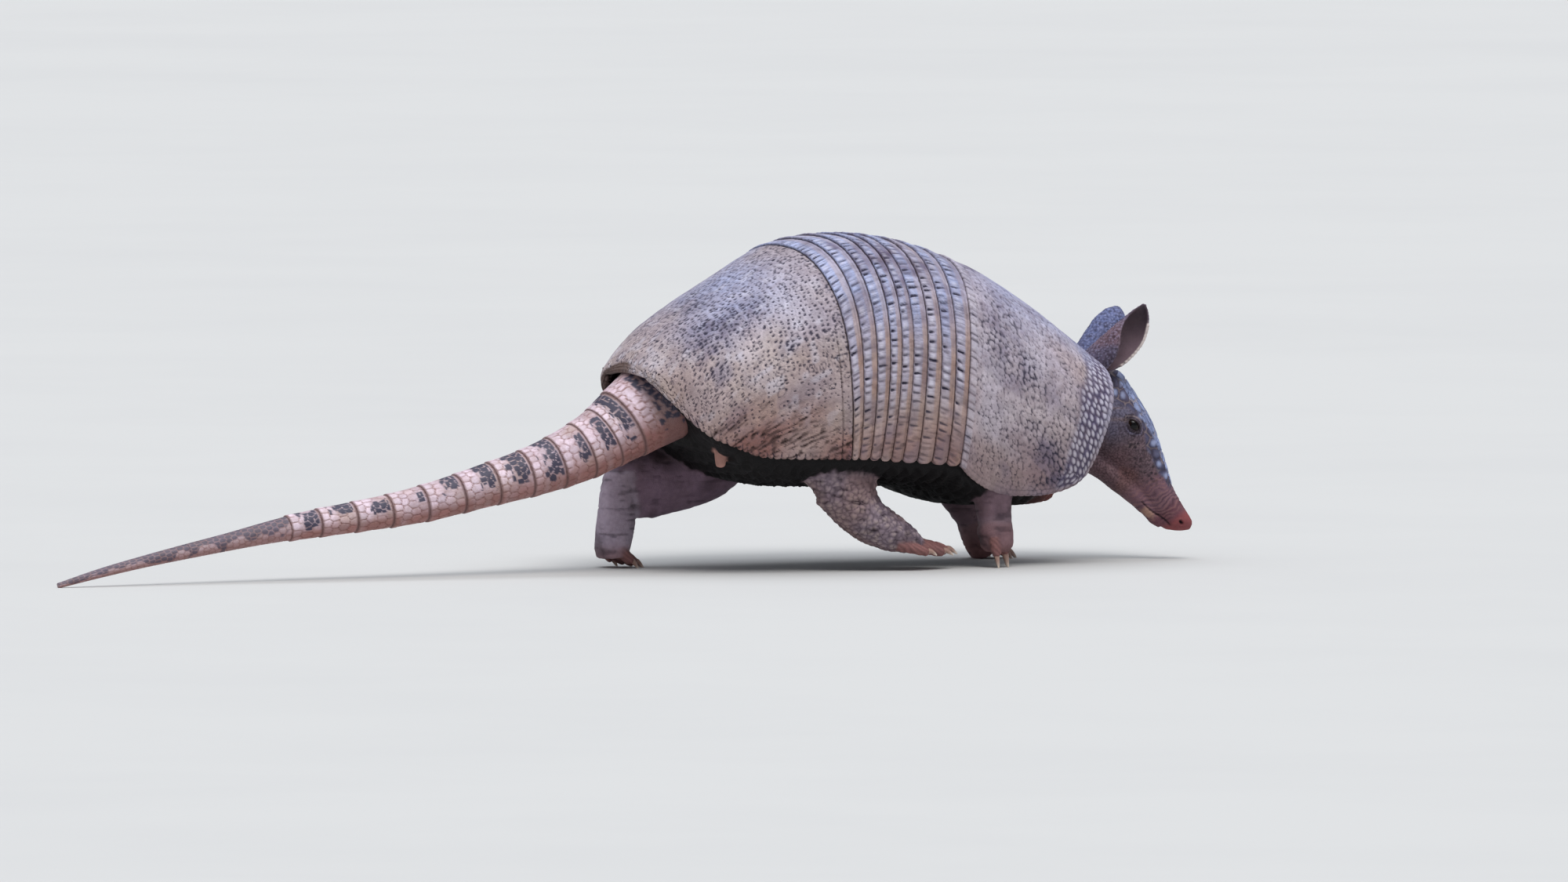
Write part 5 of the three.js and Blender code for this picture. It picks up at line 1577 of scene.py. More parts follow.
# In the order of the regions: how far each is smoothed where bodies join, and how readily it gives
# up triangles.
SOFTNESS = [1.0, 1.0, 1.0, 0.5, 0.0, 1.0, 0.1, 0.0, 0.0, 0.0, 0.0]
SPARE = [1.0, 0.5, 0.5, 0.4, 0.3, 0.5, 0.2, 0.3, 0.3, 0.2, 0.3]
TRUNK_ROWS, TRUNK_COLUMNS, BELLY_COLUMNS = 110, 90, 40
TEAT_STATIONS = [
    [39.8, -37.6, 78.0, 4.8], [39.4, -38.2, 71.0, 3.9], [39.0, -38.9, 64.5, 3.3],
    [38.8, -39.2, 61.0, 2.7],
]
EAR_WALL = 1.5
EAR_ROWS, EAR_COLUMNS = 60, 44
BEADED_ROWS = slice(18, 44, 2)
BEAD_RADIUS = 1.1
# Lids: along and across the eye's opening, and how far from its middle the skin changes.
LID_WAYS = np.array([0.66, 0.0, -0.75]), np.array([0.75, 0.0, 0.66])
LID_REACH = 12.0
# In the head's frame: the mouth's front and rear end seen from the side, and the right nostril.
MOUTH_LINE = ((54.5, 20.3), (39.0, 32.4))
NOSTRIL = (61.4, 6.5, 21.0)


def tube(rows: Array, columns: int = 28) -> Array:
    """Sweep an oval along a path, with a rounded far end.

    Args:
        rows: centre x, y, z, half-depth and half-width of each station.
        columns: number of points round the oval.

    Returns:
        Rings of points.
    """
    rows = np.asarray(rows, float)
    fine = resample(rows, 8 * len(rows))
    along = unit(fine[-1, :3] - fine[-3, :3])
    end = [np.append(fine[-1, :3] + along * fine[-1, 3] * 0.5 * math.sin(t), fine[-1, 3:] * math.cos(t))
           for t in (0.4, 0.8, 1.15, 1.4)]
    fine = np.vstack([fine, end])
    deep, wide = ring_frames(fine[:, :3])
    angle = circle(columns)[..., None]
    return (fine[:, None, :3] + deep[:, None] * fine[:, 3, None, None] * np.cos(angle)
            + wide[:, None] * fine[:, 4, None, None] * np.sin(angle))


def trunk_rings() -> tuple[Array, Array]:
    """Build the trunk from inside the shell down to the belly.

    Returns:
        Rings of points, and which points lie hidden under the shell.
    """
    hoops = np.linspace(FIRST_TRUNK_HOOP, FIRST_TRUNK_HOOP + len(BELLY_LINE) - 1, TRUNK_ROWS)
    shares = np.linspace(0.0, 1.0, TRUNK_COLUMNS)
    shell = shell_points(hoops, shares)
    back = shell - grid_normals(shell) * TRUNK_INSET
    low = smooth_rows(BELLY_LINE, hoops - FIRST_TRUNK_HOOP)
    angle = np.linspace(0, np.pi, BELLY_COLUMNS)[1:-1][None, :]
    start = back[:, -1:]
    bow = np.sin(angle) ** 0.8
    belly = np.stack([start[..., 0] + (low[:, 0:1] - start[..., 0]) * bow, start[..., 1] * np.cos(angle),
                      start[..., 2] + (low[:, 1:2] - start[..., 2]) * bow], -1)
    hidden = np.concatenate([np.abs(shares - 0.5) < 0.45, np.zeros(belly.shape[1], bool)])
    return np.concatenate([back, belly], 1), np.broadcast_to(hidden, (len(hoops), len(hidden)))


def neck_rings(angle: Array) -> Array:
    """Build the neck."""
    rows = resample(NECK_RINGS, 26)
    return np.stack([rows[:, 0:1] + 0 * angle, rows[:, 1:2] + rows[:, 4:5] * np.sin(angle),
                     rows[:, 2:3] + rows[:, 3:4] * np.cos(angle)], -1)


def skull_rings(angle: Array) -> Array:
    """Build the head, sunk a little where its shield lies on it."""
    numbers = np.linspace(0, len(HEAD_RINGS) - 1, 120)
    half = shield_half_angle(numbers)[:, None]
    turn = np.mod(angle + np.pi, 2 * np.pi) - np.pi
    first, last = SHIELD_ROWS
    sunk = rise(np.radians(1), np.radians(-8), np.abs(turn) - half)
    sunk = sunk * rise(first + 0.1, first + 0.7, numbers)[:, None]
    sunk = sunk * fall(last - 0.3, last + 0.2, numbers)[:, None]
    return from_head(head_points(numbers, turn, -1.5 * sunk))


def jaw_rings(angle: Array) -> Array:
    """Build the lower jaw."""
    jaw = resample(JAW_RINGS, 40)
    middle, up = (jaw[:, 0:2] + jaw[:, 2:4]) / 2, (jaw[:, 0:2] - jaw[:, 2:4]) / 2
    place = middle[:, None] + up[:, None] * np.cos(angle)[..., None]
    across = jaw[:, 4:5] * np.sin(angle)
    return from_head(np.stack([place[..., 0], across, place[..., 1]], -1))


def foot_rings(table: Table, angle: Array) -> Array:
    """Build one foot from its table."""
    rows = resample(table, 8 * len(table))
    share = (1.0 + np.cos(angle)) / 2.0
    x = rows[:, 2:3] + (rows[:, 0:1] - rows[:, 2:3]) * share
    y = rows[:, 4:5] + rows[:, 5:6] * np.sin(angle)
    z = rows[:, 3:4] + (rows[:, 1:2] - rows[:, 3:4]) * share
    return np.stack([x, y, z], -1)


def toe_rings(toe: list[float]) -> Array:
    """Build one toe, which ends round the root of its claw."""
    root, end, wide, thin = np.array(toe[0:3]), np.array(toe[3:6]), toe[6], toe[7]
    bed = end + (np.array(toe[8:11]) - end) * 0.3
    middle = (wide + thin) / 2
    stations = [[*root, wide, wide], [*(root + end) / 2, middle, middle],
                [*end, thin * 1.06, thin * 1.06], [*bed, thin * 0.9, thin * 0.9]]
    return tube(stations, 20)


def ear_rings(table: Table, side: float) -> tuple[Array, Array, Array]:
    """Build one ear as a curled wall.

    Args:
        table: the ear's stations.
        side: -1 for the right ear, 1 for the left.

    Returns:
        Rings of points, which of them face the hollow, and beads along the front edge.
    """
    rows = resample(table, EAR_ROWS)
    centre, radius = rows[:, :3], rows[:, 3]
    along = unit(np.gradient(centre, axis=0))
    lateral = unit(np.array([0.0, side, 0.0]) - along * (along[:, 1:2] * side))
    ahead = np.cross(lateral, along) * side
    share = np.linspace(0.0, 1.0, EAR_COLUMNS)[None, :]
    turn = np.radians(rows[:, 5:6] + (360.0 + rows[:, 4:5] - rows[:, 5:6]) * share)
    taper = clip01(np.minimum(share, 1 - share) * 14.0) ** 0.5

    def wall(depth: Array) -> Array:
        """Place points a depth inside the ear's outer face."""
        r = np.maximum(radius[:, None] - depth, 0.15)[..., None]
        return (centre[:, None] + ahead[:, None] * r * np.cos(turn)[..., None]
                + lateral[:, None] * r * np.sin(turn)[..., None])

    thin = EAR_WALL * np.clip(np.linspace(1.4, 0.75, EAR_ROWS), 0, 1.3)[:, None]
    middle = 0.5 * thin
    rings = np.concatenate([wall(middle - middle * taper), wall(middle + middle * taper)[:, ::-1]], 1)
    inner = np.broadcast_to(np.arange(2 * EAR_COLUMNS) >= EAR_COLUMNS, rings.shape[:2])
    beads = wall(middle)[BEADED_ROWS, -1]
    return from_head(rings), inner, from_head(beads)


def bead(centre: Array, radius: float) -> Array:
    """Build a small ball."""
    turn = np.linspace(0.15, np.pi - 0.15, 7)[:, None, None]
    angle = circle(10)[..., None]
    x, y, z = np.eye(3)
    return centre + radius * (np.cos(turn) * z + np.sin(turn) * (np.cos(angle) * x + np.sin(angle) * y))


def diffuse(values: Array, edges: Array, rounds: int) -> Array:
    """Smooth numbers stored at a mesh's vertices along its edges.

    Args:
        values: one number a vertex.
        edges: pairs of vertex numbers.
        rounds: how many times to average with the neighbours.

    Returns:
        The smoothed numbers.
    """
    count = np.bincount(edges.ravel(), minlength=len(values)) + 1.0
    for _ in range(rounds):
        total = values + np.bincount(edges[:, 0], values[edges[:, 1]], len(values))
        values = (total + np.bincount(edges[:, 1], values[edges[:, 0]], len(values))) / count
    return values


def set_weights(piece: Object, name: str, weights: Array) -> None:
    """Store a vertex group with weights rounded to tenths; vertices near 0 are left out."""
    group = piece.vertex_groups.new(name=name)
    level = np.round(weights * 10).astype(int)
    for k in range(1, 11):
        chosen = np.flatnonzero(level == k)
        if len(chosen):
            group.add(chosen.tolist(), k / 10.0, "REPLACE")


def apply_modifiers(piece: Object) -> None:
    """Replace a piece's mesh with what its modifiers make of it."""
    graph = bpy.context.evaluated_depsgraph_get()
    made = bpy.data.meshes.new_from_object(piece.evaluated_get(graph), depsgraph=graph)
    old = piece.data
    piece.modifiers.clear()
    piece.vertex_groups.clear()
    piece.data = made
    bpy.data.meshes.remove(old)


def mesh_arrays(piece: Object) -> tuple[Array, Array, Array]:
    """Read a mesh's points in millimetres in the animal's frame, its normals and its edges."""
    mesh = piece.data
    count = len(mesh.vertices)
    points, normals = np.empty(count * 3, np.float32), np.empty(count * 3, np.float32)
    edges = np.empty(len(mesh.edges) * 2, np.int32)
    mesh.vertices.foreach_get("co", points)
    mesh.vertex_normals.foreach_get("vector", normals)
    mesh.edges.foreach_get("vertices", edges)
    place = points.reshape(-1, 3).astype(float) * 1000.0 - (FORWARD_SHIFT, 0.0, 0.0)
    return place, normals.reshape(-1, 3).astype(float), edges.reshape(-1, 2)


def store_points(piece: Object, points: Array) -> None:
    """Write a mesh's points, given in millimetres in the animal's frame."""
    piece.data.vertices.foreach_set("co", to_metres(points).astype(np.float32).ravel())


@dataclass
class Paint:
    """Colours of a mesh's points, laid over each other.

    Attributes:
        shade: the linear colours so far, a row a point.
    """

    shade: Array

    @staticmethod
    def linear(red: int, green: int, blue: int) -> Array:
        """Turn a screen colour into a linear one, as an array."""
        return np.array(rgb(red, green, blue)[:3])

    @classmethod
    def plain(cls, colour: Colour, count: int) -> "Paint":
        """Start with one colour on every point."""
        return cls(np.tile(cls.linear(*colour), (count, 1)))

    def lay(self, colour: Colour, cover: Array) -> None:
        """Cover the colours so far."""
        cover = clip01(cover)[:, None]
        self.shade[:] = self.shade * (1 - cover) + self.linear(*colour) * cover


@dataclass
class Field:
    """The part of the skin that shows, with the measures that all its coats share.

    Attributes:
        p: points in the animal's frame.
        n: outward normals.
        w: how far each point belongs to each region, 0 to 1.
    """

    p: Array
    n: Array
    w: dict[Region, Array]

    def __post_init__(self) -> None:
        """Measure every point and draw the shared noise."""
        self.h = to_head(self.p)
        self.snout, self.crown = (self.h - BROW) @ SNOUT_WAY, (self.h - BROW) @ CROWN_WAY
        self.x, self.z, self.down = self.p[:, 0], self.p[:, 2], clip01(-self.n[:, 2])
        self.right = rise(6, -6, self.p[:, 1])
        self.limbs = self.w[LEG] + self.w[FOOT]
        self.body = self.w[BELLY] + self.limbs + self.w[HIDDEN]
        self.cloud, self.drift = value_noise(self.p, 16.0, 5), value_noise(self.p, 5.0, 6)
        self.fine = value_noise(self.p, 2.2, 8)
        self.grains = solid_cells(self.p, 1.7, 0.8, 731)


@dataclass
class BodyCoat:
    """Warty limbs, ringed toes, a ridged belly and a folded neck."""

    field: Field

    def __post_init__(self) -> None:
        """Lay out the warts, the creases, the rings and the folds."""
        f = self.field
        hind_right = (f.p[:, 1] < 0) * (f.x < 180)
        # How far a point lies above the middle of the lifted right hind foot.
        self.dorsum = rise(-2, 5, f.z - (50.0 - 0.79 * (f.x - 112.0)) + 2 * f.drift)
        self.dorsum = self.dorsum * f.limbs * rise(56, 50, f.z) * hind_right
        # Round warts are strongest on the right shin, which the shell doesn't shade; their pale tops there
        # are partly the warts' own colour and partly a painted highlight.
        self.warty = 0.25 + 0.75 * rise(62, 48, f.z) * hind_right
        warts = solid_cells(f.p * (1.0, 1.0, 1.2) + 0.8 * f.drift[:, None], 3.6, 0.95, 701)
        self.wart = fall(0.1, 0.5 + 0.25 * warts.shade, warts.first) * self.warty
        self.furrow = warts.groove(0.20) * self.warty
        self.ridges = np.sin((f.x + 3.0 * f.drift) * 2 * np.pi / 8.4) * rise(0.3, 0.8, f.down)
        self.ridges = self.ridges * f.w[BELLY]
        self.creases = rise(0.2, 0.8, value_noise(f.p * (0.35, 0.35, 1.5), 2.4, 9))
        self.toes = 0.5 - 0.5 * np.cos((f.z * 0.8 + f.x * 0.6 + f.drift) * 2 * np.pi / 2.3)
        # Neck folds run with the shell's front rim.
        self.folds = np.cos((f.x + 0.25 * f.z + 1.2 * f.drift) * 2 * np.pi / 5.2)

    def relief(self) -> Array:
        """Return the height that this coat gives each point."""
        f = self.field
        height = f.body * (0.45 * self.wart - 0.30 * self.furrow + 0.10 * f.fine) + 1.0 * self.ridges
        height -= 0.4 * self.creases * f.limbs
        height -= f.w[TOE] * (0.22 * self.toes + 0.1 * f.grains.groove(0.3))
        return height + f.w[NECK] * 0.7 * self.folds

    def paint(self, lay: Lay) -> None:
        """Colour belly, limbs, feet, toes and neck."""
        f = self.field
        belly, leg, foot, neck = f.w[BELLY], f.w[LEG], f.w[FOOT], f.w[NECK]
        # The belly is painted near black: painted shade under the shell.
        lay((9, 6, 8), belly)
        lay((110, 62, 56), belly * rise(222, 246, f.x))
        lay((134, 110, 128), leg)
        lay((122, 98, 108), leg * rise(150, 190, f.x))
        # The right hind leg, on the lit side, is painted lighter: painted light.
        lay((154, 136, 148), leg * f.right * rise(150, 130, f.x))
        lay((146, 130, 142), foot)
        lay((176, 160, 176), foot * rise(80, 50, f.x))
        lay((150, 104, 100), f.w[TOE] + foot * rise(16, 6, f.z) * 0.6)
        patchy = rise(0.2, 0.8, self.warty + 0.3 * f.cloud)
        # Pale wart tops: partly their own colour, partly a painted highlight where the shell doesn't shade.
        lay((190, 172, 164), f.limbs * self.wart * patchy * (0.65 - 0.4 * self.dorsum))
        lay((84, 72, 88), self.dorsum * rise(-0.5, 0.4, f.drift) * 0.75)
        lay((140, 108, 98), f.limbs * f.right * rise(0.1, 0.8, f.cloud) * 0.5)
        lay((126, 78, 72), foot * rise(150, 190, f.x) * rise(34, 20, f.z + 3 * f.drift) * 0.6)
        lay((52, 38, 48), f.limbs * rise(0.15, 0.8, -f.cloud + 0.4 * f.drift) * 0.5)
        shaded = rise(50, 66, f.z + 4 * f.drift)
        lay((34, 23, 27), leg * shaded * (0.95 - 0.68 * (f.x < 140) * f.right))
        lay((100, 88, 108), neck)
        lay((120, 78, 72), neck * rise(80, 60, f.z))
        lay((150, 128, 132), neck * rise(0.2, 0.9, self.folds) * 0.4)

    def dark(self) -> Array:
        """Return how dark the furrows are."""
        f = self.field
        return (0.6 * self.furrow * f.body + 0.45 * self.creases * f.limbs
                + 0.4 * self.toes * f.w[TOE])


@dataclass
class FaceCoat:
    """Fine-scaled cheeks, a ringed snout, the mouth and the nostrils."""

    field: Field

    def __post_init__(self) -> None:
        """Lay out the scales, the rings and the openings."""
        f = self.field
        self.head = f.w[HEAD]
        self.snouty = rise(36, 48, f.snout)
        across = (f.crown + 0.3 * np.abs(f.h[:, 1])) / 5.0 + 0.2 * f.drift
        self.plates = flat_cells(f.snout / 6.2 + 0.2 * f.drift, across, 0.6, 741)
        lowest = np.interp(f.snout, [-25, -10, 5, 15, 30, 50], [1, 4, 8, 9, 2, 1])
        self.scaly = rise(-1.2, 1.2, f.crown - lowest + 1.5 * f.drift)
        self.scaly = self.scaly * fall(50, 58, f.snout) * self.head
        self.gap = self.plates.groove(0.17) * self.scaly
        wave = f.snout + 2.2 * f.drift + 0.9 * f.fine + 0.012 * f.crown**2
        self.rings = np.cos(wave * 2 * np.pi / 2.5)
        wrinkle = rise(0.2, 1.0, self.rings) * rise(46, 54, f.snout) * fall(66, 72, f.snout)
        self.wrinkle = wrinkle * rise(-0.6, 0.3, f.cloud + f.drift)
        self.open_mouth()
        self.open_nostrils()

    def open_mouth(self) -> None:
        """Lay out the gap between the jaws and the lower lip."""
        start, stop = np.array(MOUTH_LINE)
        way = (stop - start) / np.linalg.norm(stop - start)
        flat = self.field.h[:, [0, 2]] - start
        run, off = flat @ way, flat @ np.array([way[1], -way[0]])
        mouth = np.exp(-((off - 0.25 * np.sin(run / 3.0)) / 0.42) ** 2)
        self.mouth = mouth * rise(-2.5, 0.0, run) * fall(19, 22, run) * self.head
        lip = rise(0.2, 1.0, -off) * fall(3.2, 5.0, -off) * fall(16, 22, run) * self.head
        self.lip, self.run = lip * rise(-4.0, -1.0, run), run

    def open_nostrils(self) -> None:
        """Lay out both nostrils and the rims round them."""
        nostril, (x, y, z) = np.full(len(self.field.h), 9.0), NOSTRIL
        for side in (-1.0, 1.0):
            q = self.field.h - (x, side * y, z)
            size = (q @ SNOUT_WAY / 1.7) ** 2 + (q @ CROWN_WAY / 1.15) ** 2 + (q[:, 1] / 2.6) ** 2
            nostril = np.minimum(nostril, np.sqrt(size))
        self.hole = fall(0.55, 1.05, nostril) * self.head
        self.rim = bell(nostril, 1.35, 0.3) * self.head

    def raised(self, relief: Array) -> Array:
        """Return a relief with this coat's height added."""
        f = self.field
        grain = -0.16 * f.grains.groove(0.3) * (1 - 0.7 * self.snouty)
        relief = relief + self.head * (grain - 0.30 * self.wrinkle + 0.12 * f.drift + 0.08 * f.fine)
        relief += 0.25 * self.scaly * fall(0.1, 0.6, self.plates.first) - 0.4 * self.gap
        return relief + (-0.75 * self.mouth + 0.3 * self.lip - 1.7 * self.hole + 0.3 * self.rim)

    def paint(self, lay: Lay, near_eye: Array) -> None:
        """Colour the head.

        Args:
            lay: covers the colours so far with another.
            near_eye: each point's distance to the nearer eye.
        """
        f, head, snouty = self.field, self.head, self.snouty
        snout, crown = f.snout, f.crown
        lay((112, 92, 100), head)
        lay((110, 106, 128), head * rise(20, 6, snout + 0.5 * f.drift) * rise(-20, -6, crown))
        lay((120, 92, 98), head * rise(-2, -12, crown) * rise(12, 24, snout))
        blotch = rise(0.0, 0.6, f.cloud) * rise(8, 20, snout)
        lay((130, 90, 84), head * blotch * (1 - snouty) * (crown < 0) * 0.5)
        lay((90, 82, 96), head * np.exp(-(near_eye / 7.0) ** 2))
        threads = rise(0.35, 0.8, value_noise(f.h * (0.25, 1.0, 1.2), 2.6, 12)) * (1 - snouty)
        lay((150, 128, 126), head * threads * rise(34, 14, snout) * 0.6)
        lay((116, 84, 96), head * snouty)
        lay((104, 64, 74), head * rise(58, 66, snout))
        lay((136, 68, 70), head * rise(68, 73, snout))
        bridge = rise(4, 8, crown) * rise(36, 44, snout) * fall(60, 68, snout)
        lay((88, 70, 84), head * bridge * 0.8)
        crests = rise(-0.2, -0.9, self.rings) * 0.3 * fall(64, 70, snout)
        lay((168, 124, 112), head * snouty * crests)
        flecks = solid_cells(f.p, 2.7, 0.9, 733)
        spots = rise(0.1, 0.28, flecks.shade + 0.25 * f.drift) * rise(12, 20, snout)
        spots = spots * fall(40, 54, snout) * rise(-14, -5, crown) * 0.9
        lay((30, 25, 36), head * spots * fall(0.26, 0.46, flecks.first))
        lay((70, 70, 98), self.scaly * 0.95)
        shine = rise(0.45, 0.1, self.plates.first) * rise(0.2, 0.7, self.plates.shade)
        lay((166, 176, 212), self.scaly * shine * 0.75)
        lay((40, 36, 52), self.scaly * self.plates.groove(0.5) * 0.7)
        lay((156, 138, 136), self.gap * rise(-0.5, 0.4, f.drift + 0.8 * f.cloud) * 0.7)
        lay((190, 150, 128), self.lip * 0.7 * rise(8, 12, self.run) * fall(15, 19, self.run))

    def dark(self) -> Array:
        """Return how dark the furrows are."""
        f = self.field
        smooth = self.head * (1 - self.snouty) * (1 - self.scaly)
        # The gap between the jaws and the nostrils are painted dark: painted shade in the openings.
        return (0.45 * self.wrinkle * (1 - self.lip) * self.head + self.mouth + self.hole
                + 0.65 * f.grains.groove(0.3) * smooth)


@dataclass
class LidCoat:
    """Lids over the eyeballs, with an opening between them and folds round it.

    Attributes:
        field: the skin before its relief.
        moved: the points with the relief of the other coats; this coat changes them.
    """

    field: Field
    moved: Array

    def __post_init__(self) -> None:
        """Raise the lids and press in the folds."""
        local = to_head(self.moved)
        self.opening, self.near_eye = np.full(len(local), 9.0), np.full(len(local), 99.0)
        opened = local.copy()
        for side in (-1.0, 1.0):
            self.open_eye(local, opened, side)
        self.at_head = self.near_eye < LID_REACH
        self.moved[self.at_head] = from_head(opened[self.at_head])
        outer = self.opening - 1.7 - 0.3 * self.field.drift
        fold = bell(self.opening, 0.75, 0.13) + 0.5 * np.exp(-(outer / 0.2) ** 2)
        self.fold = np.where(self.at_head, fold, 0.0)
        self.moved -= self.field.n * (0.32 * self.fold)[:, None]
        self.moved[:, 2] = np.maximum(self.moved[:, 2], 0.0)

    def open_eye(self, points: Array, opened: Array, side: float) -> None:
        """Raise the lids of one eye.

        Args:
            points: the skin in the head's frame.
            opened: the same points, changed near this eye.
            side: -1 for the right eye, 1 for the left.
        """
        along, across = LID_WAYS
        centre = np.array([EYE_CENTRE[0], side * EYE_CENTRE[1], EYE_CENTRE[2]])
        close = np.linalg.norm(points - centre, axis=1) < LID_REACH
        near = np.flatnonzero(close & (points[:, 1] * side > 10.0))
        q = points[near] - centre
        u, v, n = q @ along, q @ across, q[:, 1] * side
        far = np.hypot(u, v)
        lid = EYE_RADIUS + 0.8
        dome = np.sqrt(np.maximum(lid**2 - far**2, 0.0))
        raised = np.where(far < lid, np.logaddexp(n * 1.6, dome * 1.6) / 1.6, n)
        raised = n + (raised - n) * fall(lid - 0.6, lid + 0.8, far)
        gape = 1.0 - (u / 4.7) ** 2 - np.abs(v - 0.2) / np.where(v > 0.2, 2.1, 2.3)
        inside = rise(-0.10, 0.14, gape)
        raised = raised * (1 - inside) + 2.4 * inside
        opened[near, 1] += side * (raised - n)
        self.opening[near], self.near_eye[near] = -gape, far

    def paint(self, lay: Lay) -> None:
        """Colour the lids: pale above, dark at their edge and bluer below."""
        above, below = rise(77, 80, self.field.h[:, 2]), rise(77, 73, self.field.h[:, 2])
        lay((152, 130, 120), bell(self.opening, 1.2, 0.25) * (self.at_head * 0.55) * above)
        lay((30, 22, 26), bell(self.opening, 0.2, 0.3) * (self.at_head * 0.9))
        lay((124, 118, 144), bell(self.opening, 1.0, 0.35) * (self.at_head * 0.8) * below)

    def dark(self) -> Array:
        """Return how dark the furrows are."""
        return 0.8 * self.fold


@dataclass
class EarCoat:
    """Ears with fine bumps outside, smooth inside, and a pale beaded edge; and the teat."""

    field: Field

    def raised(self, relief: Array) -> Array:
        """Return a relief with this coat's height added."""
        f = self.field
        return relief + f.w[EAR] * 0.24 * fall(0.1, 0.6, f.grains.first)

    def paint(self, lay: Lay) -> None:
        """Colour the ears and the teat."""
        f = self.field
        ear, inner = f.w[EAR], f.w[EAR_IN]
        lay((114, 104, 128), ear)
        lay((150, 108, 108), ear * rise(0.1, 0.7, f.cloud) * f.right * 0.5)
        lay((112, 122, 166), ear * (1 - f.right))
        lay((166, 168, 200), ear * fall(0.1, 0.5, f.grains.first) * 0.45)
        lay((150, 128, 138), inner)
        # The upper part of the ear's hollow is painted dark: painted shade.
        lay((50, 42, 50), inner * rise(118, 140, f.z) * 0.85)
        lay((226, 212, 206), f.w[FRINGE] * 0.9)
        lay((196, 146, 132), f.w[TEAT] * rise(78, 70, f.z))

    def dark(self) -> Array:
        """Return how dark the furrows are."""
        return 0.65 * self.field.grains.groove(0.3) * 1.2 * self.field.w[EAR]


